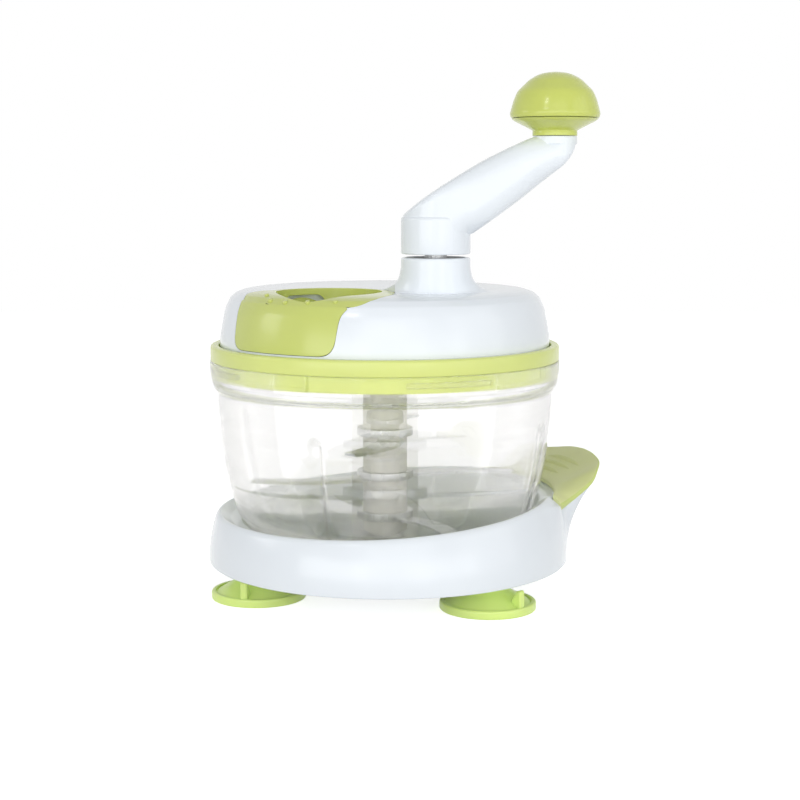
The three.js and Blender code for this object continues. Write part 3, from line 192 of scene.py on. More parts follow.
def offset(line: Sequence[Flat], distance: float) -> list[Flat]:
    """Moves an open line sideways, to its left for a positive distance."""
    moved: list[Flat] = []
    for i, (x, y) in enumerate(line):
        before, after = line[max(i - 1, 0)], line[min(i + 1, len(line) - 1)]
        dx, dy = after[0] - before[0], after[1] - before[1]
        length = math.hypot(dx, dy)
        moved.append((x - distance * dy / length, y + distance * dx / length))
    return moved


def quarters(azimuth: float) -> list[float]:
    """Returns an azimuth and the three that stand a quarter of a turn apart from it."""
    return [azimuth + quarter * 90 for quarter in range(4)]


def circle(radius: float, x: float = 0, y: float = 0, sides: int = ROUND) -> list[Flat]:
    """Returns the points of a circle."""
    return arc(radius, 0, 360, sides, x, y)[:-1]


def arc(radius: float, start: float, end: float, steps: int, x: float = 0, y: float = 0) -> list[Flat]:
    """Returns points on an arc between two azimuths in degrees."""
    turns = [math.radians(azimuth) for azimuth in spread(start, end, steps)]
    return [(x + radius * math.cos(turn), y + radius * math.sin(turn)) for turn in turns]


def curve(corners: Sequence[Flat], steps: int) -> list[Vector]:
    """Returns points on the arc that is led by a start, a middle and an end."""
    start, middle, end = (Vector(corner) for corner in corners)
    return [start * (1 - t) ** 2 + middle * (2 * t * (1 - t)) + end * t * t for t in spread(0, 1, steps)]


def at_azimuth(radius: float, azimuth: float) -> Flat:
    """Returns the place at a radius and an azimuth in degrees."""
    return arc(radius, azimuth, azimuth, 1)[0]


@dataclass
class Shape:
    """A mesh in the making.

    Attributes:
        points: Its points in millimetres from the bowl's axis.
        faces: Its faces, as numbers of points.
    """

    points: list[Point] = field(default_factory=list)
    faces: list[tuple[int, ...]] = field(default_factory=list)

    def add(self, *others: "Shape") -> "Shape":
        """Takes in other shapes and returns itself."""
        for other in others:
            start = len(self.points)
            self.points.extend(other.points)
            self.faces.extend(tuple(i + start for i in face) for face in other.faces)
        return self

    def changed(self, rule: Callable[[float, float, float], Point]) -> "Shape":
        """Returns a copy whose points went through a rule."""
        return Shape([rule(*point) for point in self.points], list(self.faces))

    def moved(self, x: float = 0, y: float = 0, z: float = 0) -> "Shape":
        """Returns a copy moved by x, y and z."""
        return self.changed(lambda a, b, c: (a + x, b + y, c + z))

    def turned(self, azimuth: float) -> "Shape":
        """Returns a copy turned about the Z axis by degrees."""
        c, s = math.cos(math.radians(azimuth)), math.sin(math.radians(azimuth))
        return self.changed(lambda x, y, z: (x * c - y * s, x * s + y * c, z))

    def upright(self) -> "Shape":
        """Returns a copy whose Z becomes -Y and whose Y becomes Z."""
        return self.changed(lambda x, y, z: (x, -z, y))

    def tilted(self, angle: float) -> "Shape":
        """Returns a copy turned about the Y axis by degrees."""
        c, s = math.cos(math.radians(angle)), math.sin(math.radians(angle))
        return self.changed(lambda x, y, z: (x * c + z * s, y, z * c - x * s))


def loft(loops: Sequence[Sequence[Point]], ring: bool = True, caps: bool = True) -> Shape:
    """Joins closed loops of points, one after another.

    Args:
        loops: Loops with the same number of points.
        ring: Whether the last loop joins the first.
        caps: Whether the two ends are closed, where there is no ring.

    Returns:
        The shape between the loops.
    """
    count, total = len(loops[0]), len(loops)
    shape = Shape([point for loop in loops for point in loop])
    for i in range(total if ring else total - 1):
        here, there = i * count, (i + 1) % total * count
        for j in range(count):
            k = (j + 1) % count
            shape.faces.append((here + j, there + j, there + k, here + k))
    if caps and not ring:
        shape.faces.append(tuple(range(count))[::-1])
        shape.faces.append(tuple(range((total - 1) * count, total * count)))
    return shape


def polar(section: Callable[[float], Sequence[Flat]], azimuths: Sequence[float], ring: bool = True) -> Shape:
    """Builds a shape round the Z axis whose section changes with the azimuth.

    Args:
        section: Gives the closed section of radius and height at an azimuth in degrees.
        azimuths: Where the sections are taken.
        ring: Whether it goes the whole way round.

    Returns:
        The shape.
    """
    loops = []
    for azimuth in azimuths:
        c, s = math.cos(math.radians(azimuth)), math.sin(math.radians(azimuth))
        loops.append([(radius * c, radius * s, height) for radius, height in section(azimuth)])
    return loft(loops, ring)


def revolve(profile: Sequence[Flat], sides: int = ROUND) -> Shape:
    """Turns a closed profile of radius and height about the Z axis."""
    return polar(lambda _: profile, spread(0, 360, sides)[:-1])


def rod(radius: float, bottom: float, top: float, edge: float = 0.0, sides: int = SMALL_ROUND) -> Shape:
    """Returns an upright cylinder with softened edges."""
    return revolve(rounded([(0, bottom), (radius, bottom, edge), (radius, top, edge), (0, top)]), sides)


def grow(outline: Sequence[Flat], distance: float) -> list[Flat]:
    """Moves a closed anticlockwise outline outwards."""
    count = len(outline)
    ring = [outline[-1], *outline, outline[0]]
    return offset(ring, -distance)[1:count + 1]


def oblong(across: Flat, up: Flat, edges: Sequence[float] = (0, 0, 0, 0), steps: int = 4) -> list[Flat]:
    """Returns the outline of an oblong.

    Args:
        across: Where it starts and ends across, or its inner and outer radius.
        up: Where it starts and ends upwards.
        edges: Its four roundings, anticlockwise from the first corner.
        steps: Pieces in each rounding.

    Returns:
        The outline's points, anticlockwise.
    """
    corners = [(across[0], up[0]), (across[1], up[0]), (across[1], up[1]), (across[0], up[1])]
    return rounded([(*corner, edge) if edge else corner for corner, edge in zip(corners, edges)], steps=steps)


def prism(outline: Sequence[Flat], bottom: float, top: float, edge: float = 0.0) -> Shape:
    """Returns an upright prism over a closed anticlockwise outline, with its edges chamfered."""
    inner = grow(outline, -edge)
    levels = [(inner, bottom), (outline, bottom + edge), (outline, top - edge), (inner, top)]
    kept = levels if edge else [levels[0], levels[3]]
    return loft([[(x, y, z) for x, y in line] for line, z in kept], ring=False)


def curved_block(radii: Flat, heights: Flat, azimuth: float, turn: float, edge: float = 0.4) -> Shape:
    """Returns a block that follows a circle.

    Args:
        radii: Its inner and outer radius.
        heights: Its bottom and top.
        azimuth: Where its middle is.
        turn: How far it goes round, in degrees.
        edge: The rounding of its long edges.

    Returns:
        The block.
    """
    section = oblong(radii, heights, (edge,) * 4, steps=2)
    azimuths = spread(azimuth - turn / 2, azimuth + turn / 2, max(2, round(turn)))
    return polar(lambda _: section, azimuths, ring=False)


class Carve(Enum):
    """How one mesh is combined with another."""

    JOIN = "UNION"
    CUT = "DIFFERENCE"
    KEEP = "INTERSECT"


def to_object(shape: Shape, name: str) -> bpy.types.Object:
    """Makes a mesh object of a shape, in the frame and in metres.

    Args:
        shape: The shape.
        name: What the object is called.

    Returns:
        The object, with its faces turned outwards.
    """
    work = bmesh.new()
    corners = [work.verts.new(in_frame(*point)) for point in shape.points]
    for face in shape.faces:
        if len(set(face)) > 2:
            work.faces.new([corners[i] for i in face])
    bmesh.ops.remove_doubles(work, verts=work.verts, dist=WELD)
    bmesh.ops.dissolve_degenerate(work, edges=work.edges, dist=WELD / 2)
    bmesh.ops.recalc_face_normals(work, faces=work.faces)
    if work.calc_volume(signed=True) < 0:
        bmesh.ops.reverse_faces(work, faces=work.faces)
    mesh = bpy.data.meshes.new(name)
    work.to_mesh(mesh)
    work.free()
    thing = bpy.data.objects.new(name, mesh)
    bpy.context.scene.collection.objects.link(thing)
    return thing


def carve(target: bpy.types.Object, tool: "Shape | bpy.types.Object", how: Carve) -> None:
    """Combines an object with a shape, and leaves the result in the object.

    Args:
        target: The object that is changed.
        tool: The shape or object that it is combined with. An object is used up.
        how: Whether the tool is joined, cut away or kept in common.
    """
    helper = to_object(tool, "carving_tool") if isinstance(tool, Shape) else tool
    modifier = target.modifiers.new("carve", "BOOLEAN")
    modifier.operation = how.value
    modifier.solver = "EXACT"
    modifier.object = helper
    graph = bpy.context.evaluated_depsgraph_get()
    result = bpy.data.meshes.new_from_object(target.evaluated_get(graph))
    target.modifiers.remove(modifier)
    former = target.data
    target.data = result
    result.name = target.name
    bpy.data.meshes.remove(former)
    tool_mesh = helper.data
    bpy.data.objects.remove(helper)
    bpy.data.meshes.remove(tool_mesh)


def place(thing: bpy.types.Object, finish: bpy.types.Material, slot: str, body: str, *nodes: str) -> None:
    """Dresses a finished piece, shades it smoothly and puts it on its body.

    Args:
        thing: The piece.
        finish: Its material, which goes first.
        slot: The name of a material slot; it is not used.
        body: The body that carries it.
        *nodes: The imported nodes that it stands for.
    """
    if thing.data.materials:
        thing.data.materials[0] = finish
    else:
        thing.data.materials.append(finish)
    thing.data.shade_smooth()
    thing.data.set_sharp_from_angle(angle=math.radians(CRISP_ANGLE))
    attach(thing, body)
    if nodes:
        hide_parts(*nodes)
    log.info("%s: %d faces", thing.name, len(thing.data.polygons))


class Wire:
    """A node's output, whose maths is written as Python."""

    def __init__(self, graph: "Graph", socket: bpy.types.NodeSocket) -> None:
        """Keeps the graph and the socket."""
        self.graph = graph
        self.socket = socket

    def _math(self, operation: str, first: Any, second: Any) -> "Wire":
        """Adds a Math node and returns its output."""
        return self.graph.node("ShaderNodeMath", {"operation": operation}, {0: first, 1: second})

    def __add__(self, other: Any) -> "Wire":
        """Adds another value."""
        return self._math("ADD", self, other)

    __radd__ = __add__

    def __mul__(self, other: Any) -> "Wire":
        """Multiplies by another value."""
        return self._math("MULTIPLY", self, other)

    def __or__(self, other: "Wire") -> "Wire":
        """Takes the larger of two values."""
        return self._math("MAXIMUM", self, other)


class Graph:
    """The nodes of one material or world."""

    def __init__(self, owner: bpy.types.Material | bpy.types.World) -> None:
        """Clears the owner's nodes and adds its place coordinates."""
        self.owner = owner
        owner.use_nodes = True
        self.tree = owner.node_tree
        self.tree.nodes.clear()
        self.place = self.node("ShaderNodeTexCoord", output="Object")

    def node(self, kind: str, settings: dict[str, Any] | None = None, inputs: dict[Any, Any] | None = None,
             output: Any = 0, stops: Sequence[Flat] = ()) -> Wire:
        """Adds a node.

        Args:
            kind: The node's type.
            settings: Its own settings, set first.
            inputs: Values or wires for its sockets, by name or number.
            output: Which output is returned.
            stops: A ramp's places and grey levels.

        Returns:
            The wire from that output.
        """
        made = self.tree.nodes.new(kind)
        for name, value in (settings or {}).items():
            setattr(made, name, value)
        for number, (where, level) in enumerate(stops):
            stop = made.color_ramp.elements[number]
            stop.position = where
            stop.color = (level, level, level, 1)
        for name, value in (inputs or {}).items():
            if isinstance(value, Wire):
                self.tree.links.new(value.socket, made.inputs[name])
            else:
                made.inputs[name].default_value = value
        return Wire(self, made.outputs[output])

    def stretched(self, scale: Point) -> Wire:
        """Returns the place coordinates stretched along each axis."""
        return self.node("ShaderNodeMapping", inputs={"Vector": self.place, "Scale": scale})

    def noise(self, scale: float, detail: float = 2.0, where: Wire | None = None) -> Wire:
        """Returns fractal noise with that many cells to a metre."""
        inputs = {"Vector": where or self.place, "Scale": scale, "Detail": detail,
                  "Roughness": NOISE_ROUGHNESS}
        return self.node("ShaderNodeTexNoise", inputs=inputs)

    def between(self, share: Wire, low: Wire | Colour, high: Colour) -> Wire:
        """Returns a colour mixed from two, the first of which may be a wire."""
        first = low if isinstance(low, Wire) else (*low, 1)
        inputs = {MIX_SHARE: share, MIX_FIRST: first, MIX_SECOND: (*high, 1)}
        return self.node("ShaderNodeMix", {"data_type": "RGBA"}, inputs, output=MIX_RESULT)

    def ramp(self, share: Wire, low: float, high: float) -> Wire:
        """Returns 0 below low and 1 above high."""
        return self.node("ShaderNodeValToRGB", inputs={0: share}, stops=((low, 0.0), (high, 1.0)))

    def bump(self, height: Wire, distance: float, strength: float, under: Wire | None = None) -> Wire:
        """Returns a normal from a height, laid over another normal where there is one."""
        inputs = {"Height": height, "Distance": distance, "Strength": strength}
        return self.node("ShaderNodeBump", inputs=inputs | ({"Normal": under} if under else {}))

    def finish(self, shader: Wire, output: str = "ShaderNodeOutputMaterial") -> bpy.types.ID:
        """Joins a shader to an output node and returns the owner."""
        made = self.tree.nodes.new(output)
        self.tree.links.new(shader.socket, made.inputs["Surface"])
        return self.owner


def linear_level(value: int) -> float:
    """Turns a screen level from 0 to 255 into a linear one, by the sRGB standard."""
    share = value / 255
    return share / 12.92 if share <= 0.04045 else ((share + 0.055) / 1.055) ** 2.4


def linear(red: int, green: int, blue: int) -> Colour:
    """Turns a screen colour into the linear colour that a shader takes."""
    return linear_level(red), linear_level(green), linear_level(blue)


@dataclass(frozen=True)
class Moulded:
    """Moulded plastic or rubber.

    Attributes:
        name: The material's name.
        colour: Its linear colour.
        roughness: How dull it is.
        roughness_play: How much that varies with handling.
        mottle: How far the colour varies, as a share.
        grain: Cells of the surface grain to a metre.
        relief: Depth of the grain in metres.
        flow: Strength of the long, weak sink waves of a moulding.
        wear: How much its edges are rubbed lighter.
        depth: How much light goes in below the surface.
        coat: How much clear gloss lies on it.
        coat_roughness: How dull that gloss is.
        cloud_ramp: Levels of the clouds between the darker and the lighter colour.
        edge_ramp: Levels of the surface's sharpness between unworn and worn.
        rub_ramp: Levels of the rubbing between shiny and dull.
        pale: How much paler worn edges are.
        grain_strength: Strength of the surface grain.
        bleed: How far light spreads below the surface, in metres.
        bleed_tint: How far that is for each colour of light.
    """

    name: str
    colour: Colour
    roughness: float = 0.3
    roughness_play: float = 0.025
    mottle: float = 0.05
    grain: float = 2600
    relief: float = 0.00002
    flow: float = 0.12
    wear: float = 0.1
    depth: float = 0.0
    coat: float = 0.0
    coat_roughness: float = 0.08
    cloud_ramp: Flat = (0.3, 0.7)
    edge_ramp: Flat = (0.53, 0.62)
    rub_ramp: Flat = (0.35, 0.75)
    pale: float = 0.35
    grain_strength: float = 0.6
    bleed: float = 0.004
    bleed_tint: Colour = (1.0, 0.9, 0.5)

    def material(self) -> bpy.types.Material:
        """Builds the material."""
        graph = Graph(bpy.data.materials.new(self.name))
        cloud = graph.noise(CLOUDS, 3)
        fine = graph.noise(self.grain, 2)
        rub = graph.noise(RUBBING, 4)
        darker = tuple(value * (1 - self.mottle) for value in self.colour)
        lighter = tuple(min(1.0, value * (1 + self.mottle * 0.6)) for value in self.colour)
        base = graph.between(graph.ramp(cloud, *self.cloud_ramp), darker, lighter)
        edge = graph.ramp(graph.node("ShaderNodeNewGeometry", output="Pointiness"), *self.edge_ramp)
        pale = tuple(blend(value, 1.0, self.pale) for value in self.colour)
        worn = graph.between(edge * self.wear, base, pale)
        play = graph.ramp(rub, *self.rub_ramp) * self.roughness_play
        dull = self.roughness - self.roughness_play / 2 + play
        waves = graph.bump(graph.noise(SINK_WAVES, 1), WAVE_DEPTH, self.flow)
        normal = graph.bump(fine, self.relief, self.grain_strength, waves)
        inputs = {"Base Color": worn, "Roughness": dull, "Normal": normal, "IOR": PLASTIC_IOR,
                  "Coat Weight": self.coat, "Coat Roughness": self.coat_roughness}
        if self.depth:
            inputs |= {"Subsurface Weight": self.depth, "Subsurface Scale": self.bleed,
                       "Subsurface Radius": self.bleed_tint}
        return graph.finish(graph.node("ShaderNodeBsdfPrincipled", inputs=inputs))


@dataclass(frozen=True)
class Clear:
    """Clear plastic.

    Attributes:
        name: The material's name.
        colour: What is left of white light that goes through it.
        roughness: How dull it is where nothing has rubbed it.
        scuff: How much duller the rubbed places are.
        body: How much of it the eye sees rather than what is behind it, where it is faced.
        solid: The same where it is seen along its wall.
        depth: The dark colour the wall turns where it is seen along it: partly the light its length of wall
            takes up, mostly painted shade for the darker surroundings that such edges would show.
        scratches: How its scratches are stretched along each axis.
        haze: Cells of its haze to a metre.
        waves: Cells of its moulding waves to a metre.
        ripple: Strength of those waves.
        hazed: What the haze leaves of the colour.
        scratch_ramp: Levels of the scratches between none and full.
        haze_ramp: Levels of the haze between none and full.
        slant_ramp: How slanted the wall is seen, between faced and along it.
    """

    name: str
    colour: Colour
    roughness: float = 0.03
    scuff: float = 0.1
    body: float = 0.4
    solid: float = 0.95
    depth: Colour = (0.3, 0.3, 0.28)
    scratches: Point = (90, 90, 2400)
    haze: float = 32.0
    waves: float = 38.0
    ripple: float = 0.1
    hazed: float = 0.985
    scratch_ramp: Flat = (0.55, 0.8)
    haze_ramp: Flat = (0.4, 0.7)
    slant_ramp: Flat = (0.45, 0.98)

    def material(self) -> bpy.types.Material:
        """Builds the material."""
        graph = Graph(bpy.data.materials.new(self.name))
        scratches = graph.noise(1, 5, graph.stretched(self.scratches))
        haze = graph.noise(self.haze, 3)
        marks = graph.ramp(scratches, *self.scratch_ramp) * graph.ramp(haze, *self.haze_ramp)
        plain = graph.between(haze, tuple(value * self.hazed for value in self.colour), self.colour)
        facing = graph.node("ShaderNodeLayerWeight", inputs={"Blend": 0.5}, output="Facing")
        slant = graph.ramp(facing, *self.slant_ramp)
        # Painted shade: the colour darkens towards depth where the wall is seen edge-on, standing in for the
        # darker surroundings seen in the edges.
        edge_shaded_tint = graph.between(slant, plain, self.depth)
        normal = graph.bump(graph.noise(self.waves, 1), WAVE_DEPTH, self.ripple)
        # The edges are also made more solid, so that their painted shade shows.
        alpha = self.body + slant * (self.solid - self.body)
        return graph.finish(graph.node("ShaderNodeBsdfPrincipled", inputs={
            "Base Color": edge_shaded_tint, "Roughness": self.roughness + marks * self.scuff, "Normal": normal,
            "IOR": PLASTIC_IOR, "Transmission Weight": 1.0, "Alpha": alpha}))


@dataclass(frozen=True)
class Steel:
    """Bare steel.

    Attributes:
        name: The material's name.
        colour: Its linear colour.
        roughness: How dull it is.
        roughness_play: How much duller its brush lines are.
        lines: How those lines are stretched along each axis.
        line_ramp: Levels of the lines between shiny and dull.
        line_depth: Their depth in metres.
        stains: Cells of its stains to a metre.
        stained: What a stain leaves of the colour.
    """

    name: str
    colour: Colour = (0.6, 0.61, 0.62)
    roughness: float = 0.24
    roughness_play: float = 0.14
    lines: Point = (60, 2600, 60)
    line_ramp: Flat = (0.3, 0.7)
    line_depth: float = 0.00003
    stains: float = 55.0
    stained: float = 0.9

    def material(self) -> bpy.types.Material:
        """Builds the material."""
        graph = Graph(bpy.data.materials.new(self.name))
        brush = graph.noise(1, 6, graph.stretched(self.lines))
        stain = graph.noise(self.stains, 3)
        base = graph.between(stain, tuple(value * self.stained for value in self.colour), self.colour)
        dull = self.roughness + graph.ramp(brush, *self.line_ramp) * self.roughness_play
        normal = graph.bump(brush, self.line_depth, 0.5)
        return graph.finish(graph.node("ShaderNodeBsdfPrincipled", inputs={
            "Base Color": base, "Metallic": 1.0, "Roughness": dull, "Normal": normal}))


class Finish(Enum):
    """The finishes of the chopper's pieces."""

    WHITE = Moulded("gloss_white", linear(236, 242, 248), roughness=0.2, mottle=0.012, wear=0.0, coat=0.2)
    INSERT = Moulded("leaf_green", linear(204, 214, 116), roughness=0.2, mottle=0.03, depth=0.12, coat=0.15)
    RING = Moulded("pale_lime", linear(221, 231, 136), roughness=0.24, mottle=0.03, depth=0.15)
    KNOB = Moulded("knob_green", linear(204, 214, 104), roughness=0.2, mottle=0.03, depth=0.1, coat=0.15)
    PAD = Moulded("pad_olive", linear(222, 227, 163), roughness=0.42, mottle=0.04, relief=0.00005)
    LIP = Moulded("pad_lip", linear(206, 219, 134), roughness=0.42, mottle=0.03, depth=0.1)
    CUP = Moulded("cup_lime", linear(228, 253, 146), roughness=0.34, mottle=0.03, depth=0.35, wear=0.0,
                  flow=0.3)
    GREY = Moulded("column_grey", linear(222, 220, 214), roughness=0.4, mottle=0.03)
    GEAR = Moulded("gear_grey", linear(205, 205, 200), roughness=0.45, relief=0.00004)
    BOWL = Clear("clear_bowl", (0.95, 0.945, 0.93))
    BLADE = Steel("blade_steel")
    FASTENER = Steel("fastener_steel", roughness=0.3, lines=(900, 900, 60))

    @property
    def made(self) -> bpy.types.Material:
        """Returns the material, built once."""
        known = bpy.data.materials.get(self.value.name)
        return known or self.value.material()


BOWL_FOOT = 28.0
BOWL_HEIGHT = 100.4
BOWL_RADIUS = 95.7
RIM = BOWL_FOOT + BOWL_HEIGHT
PLAY = 0.3
CRANK_PLACE: Flat = (27.0, -36.0)
SCREW_ORBIT = 79.0
SCREW_HOLE = 1.7
BOWL_SHARES: tuple[Flat, ...] = (
    (0.606, 0), (0.69, 0.02), (0.763, 0.06), (0.82, 0.12), (0.857, 0.179), (0.888, 0.289), (0.92, 0.422),
    (0.94, 0.558), (0.944, 0.61), (0.951, 0.69), (0.957, 0.757), (0.9585, 0.832), (0.976, 0.852),
    (0.99, 0.886), (1, 0.95))


@dataclass
class SuctionCups:
    """The three soft cups that the chopper stands on."""

    orbit: float = 72.6
    radius: float = 25.7
    rim: float = 4.6
    lip: float = 2.6
    neck: float = 10.0
    dome: float = 11.5
    hollow: Flat = (2.0, 6.0)
    stem_top: float = 17.2
    stud_radii: Flat = (3.3, 5.5)
    head_room: Flat = (7.3, 10.6)
    rib_width: float = 3.8
    rib_height: float = 13.5
    rib_length: float = 6.5
    post: float = 2.6
    shelf: float = 1.1
    places: tuple[tuple[str, float, float], ...] = (
        ("right", -40.9, -45.0), ("left", -160.9, -105.0), ("back", 79.1, 79.1))

    def cup(self) -> Shape:
        """Returns one cup about its own axis."""
        inside = self.radius - self.lip
        skirt, ceiling = self.hollow
        stud, head = self.stud_radii
        floor, step = self.head_room
        return revolve(rounded([
            (0, ceiling), (self.neck, ceiling, 2), (inside, skirt, 1), (inside, 0, 0.5), (self.radius, 0, 1),
            (self.radius, self.rim, 1.3), (inside, self.rim, 0.5), (inside, self.rim - self.shelf, 0.5),
            (self.neck, self.dome, 4), (self.neck, self.stem_top, 0.6), (stud, self.stem_top), (stud, step),
            (head, step), (head, floor), (0, floor)]), CUP_ROUND)

    def rib(self) -> Shape:
        """Returns the pull rib over one cup's rim: a post with a web that runs down to the dome."""
        outer = self.radius - self.lip / 2
        inner, low, high = outer - self.rib_length, self.rim / 2, self.rib_height
        side = rounded([(inner, low), (outer, low), (outer, high, 1.3), (outer - self.post, high, 1.3),
                        (inner, self.rim + 3, 1)])
        return prism(side, -self.rib_width / 2, self.rib_width / 2, 0.7).upright()

    def build(self) -> None:
        """Builds the three cups."""
        for name, azimuth, rib_azimuth in self.places:
            shape = self.cup().add(self.rib().turned(rib_azimuth)).moved(*at_azimuth(self.orbit, azimuth))
            cup = to_object(shape, f"soft_cup_{name}")
            place(cup, Finish.CUP.made, "cup_rubber", "base", f"suction_cup_{name}")


@dataclass
class Tray:
    """The white tray, with the ledge that the lever's pad lies on."""

    bottom: float = 17.5
    foot: float = 99.2
    forward: float = 1.75
    wall: float = 2.5
    rim_radius: float = 92.8
    rim_low: float = 45.0
    rim_rise: float = 12.0
    rim_power: float = 1.6
    rim_fall: float = 4.0
    seat_radius: float = 85.4
    seat_play: float = 0.9
    seat_drop: float = 0.4
    seat_start: float = 0.8
    seat_under: Flat = (1.2, -1.8)
    side_shares: Flat = (0.08, 0.92)
    flare: float = 2.2
    azimuth: float = 19.6
    half_span: float = 30.7
    side_room: float = 1.5
    reach: float = 122.3
    height: float = 72.0
    tip_reach: float = 98.6
    tip_height: float = 49.5
    fade: float = 16.0
    pad_inner: float = 93.5
    pad_thickness: float = 2.7
    undercut: float = 0.5
    beneath: float = 0.8
    swing: float = 1.4
    setback: float = 1.2
    shoulder_out: float = 0.8
    shoulder_down: float = 2.4
    lead: float = 0.9
    deck_radius: float = 58.0
    drain_radius: float = 12.0
    deck_thickness: float = 2.0
    seat_foot: float = 30.4
    tab_turn: float = 36.0
    ear_slot: Flat = (80.5, 86.0)
    ear_middle: float = 43.5
    ear_room: float = 2.2
    slot_heights: Flat = (44.0, 68.0)
    lug: Flat = (76.3, 81.7)
    lug_middle: float = 40.64
    lug_half: float = 1.7
    lug_heights: Flat = (41.0, 50.9)
    edge_rows: tuple[Point, ...] = (
        (0, 1, 1), (0.2, 0.996, 0.97), (0.407, 0.979, 0.88), (0.586, 0.861, 0.778), (0.684, 0.713, 0.533),
        (0.782, 0.397, 0.267), (0.847, 0.186, 0.111), (0.925, 0.085, 0.05), (1, 0, 0))

    def rim(self, away: float) -> float:
        """Returns the rim's height at an angle from the tab."""
        return self.rim_low + self.rim_rise * ((1 + math.cos(math.radians(away))) / 2) ** self.rim_power

    def pad_edge(self, away: float) -> Flat:
        """Returns the pad's outer edge at an angle from the tab's middle."""
        at = min(away / self.half_span, 1.0)
        return (blend(self.tip_reach, self.reach, read(self.edge_rows, at)),
                blend(self.tip_height, self.height, read(self.edge_rows, at, 2)))

    def ledge(self, away: float) -> tuple[Flat, Flat]:
        """Returns the tray's shoulder and crest below the pad."""
        reach, height = self.pad_edge(away)
        outer, floor = reach - self.undercut, self.rim(away) - self.pad_thickness
        slope = (height - self.pad_thickness - floor) / (outer - self.pad_inner)
        drop = self.beneath + self.swing * max(-slope, 0)
        low, high = ((radius, floor + slope * (radius - self.pad_inner) - drop)
                     for radius in (outer - self.setback, self.pad_inner - self.setback))
        return low, high

    def open_rim(self, away: float) -> tuple[Flat, Flat]:
        """Returns the tray's shoulder and crest where no pad lies on it."""
        rim, share = self.rim(away), ease((away - self.half_span) / self.fade)
        shoulder = (blend(self.tip_reach, self.rim_radius + self.shoulder_out, share),
                    blend(self.tip_height, rim - self.shoulder_down, share))
        return shoulder, (self.rim_radius - self.setback, rim)

    def edge(self, away: float) -> tuple[Flat, Flat]:
        """Returns the tray's shoulder and crest, led softly from the ledge into the open rim."""
        share = ease((away - self.half_span - self.side_room) / self.lead)
        if share in (0.0, 1.0):
            return self.open_rim(away) if share else self.ledge(away)
        pairs = zip(self.ledge(away), self.open_rim(away))
        return tuple((blend(a[0], b[0], share), blend(a[1], b[1], share)) for a, b in pairs)

    def side(self, foot: float, shoulder: Flat, shares: Sequence[float]) -> list[Flat]:
        """Returns points of the flared side, as shares of the way up from its foot to its shoulder."""
        return [(foot + (shoulder[0] - foot) * share ** self.flare,
                 self.bottom + share * (shoulder[1] - self.bottom)) for share in shares]

    def section(self, azimuth: float) -> list[Flat]:
        """Returns the tray's closed section at an azimuth."""
        away = abs(turn_between(azimuth, self.azimuth))
        foot = self.foot + self.forward * math.cos(math.radians(azimuth))
        shoulder, crest = self.edge(away)
        lip = (self.seat_radius, self.rim(away) - self.rim_fall)
        deck = BOWL_FOOT - PLAY
        below = deck - self.deck_thickness
        bowl = [(height * BOWL_HEIGHT + BOWL_FOOT, radius * BOWL_RADIUS) for radius, height in BOWL_SHARES]
        levels = spread(lip[1] - self.seat_start, self.seat_foot, 5)
        seat = [(read(bowl, z) + self.seat_play, z - self.seat_drop) for z in levels]
        out, down = self.seat_under
        under = [(radius + out, z + down) for radius, z in reversed(seat[1:])]
        inside = [(radius - self.wall, z) for radius, z in self.side(foot, shoulder, (0.75, 0.5, 0.25))]
        return rounded([
            (foot - self.wall, self.bottom, 0.5), (foot, self.bottom, 1.2),
            *self.side(foot, shoulder, spread(*self.side_shares, 9)),
            (*shoulder, 1.0), (*crest, 1.5), (*lip, 0.7),
            *seat, (self.deck_radius, deck, 1.5), (self.drain_radius, deck, 0.6),
            (self.drain_radius, below, 0.4), (self.deck_radius, below), *under,
            (lip[0] + 2, lip[1] - self.wall), (crest[0], crest[1] - self.wall),
            (shoulder[0] - self.wall, shoulder[1] - self.wall), *inside], steps=3)

    def build(self) -> None:
        """Builds the tray, with the two lugs that the lever's pins turn in."""
        start, end = self.azimuth - self.tab_turn, self.azimuth + self.tab_turn
        shape = polar(self.section, [*spread(start, end, 240), *spread(end, start + 360, 200)[1:-1]])
        thing, lugs = to_object(shape, "tray"), Shape()
        for side in (1, -1):
            middle = side * self.ear_middle
            outline = oblong(self.ear_slot, (middle - self.ear_room, middle + self.ear_room))
            carve(thing, prism(outline, *self.slot_heights).turned(self.azimuth), Carve.CUT)
            middle = side * self.lug_middle
            outline = oblong(self.lug, (middle - self.lug_half, middle + self.lug_half), (0.5,) * 4)
            lugs.add(prism(outline, *self.lug_heights, 0.4).turned(self.azimuth))
        place(thing, Finish.WHITE.made, "white_plastic", "base", "base_shell")
        place(to_object(lugs, "tray_lugs"), Finish.WHITE.made, "white_plastic", "base")


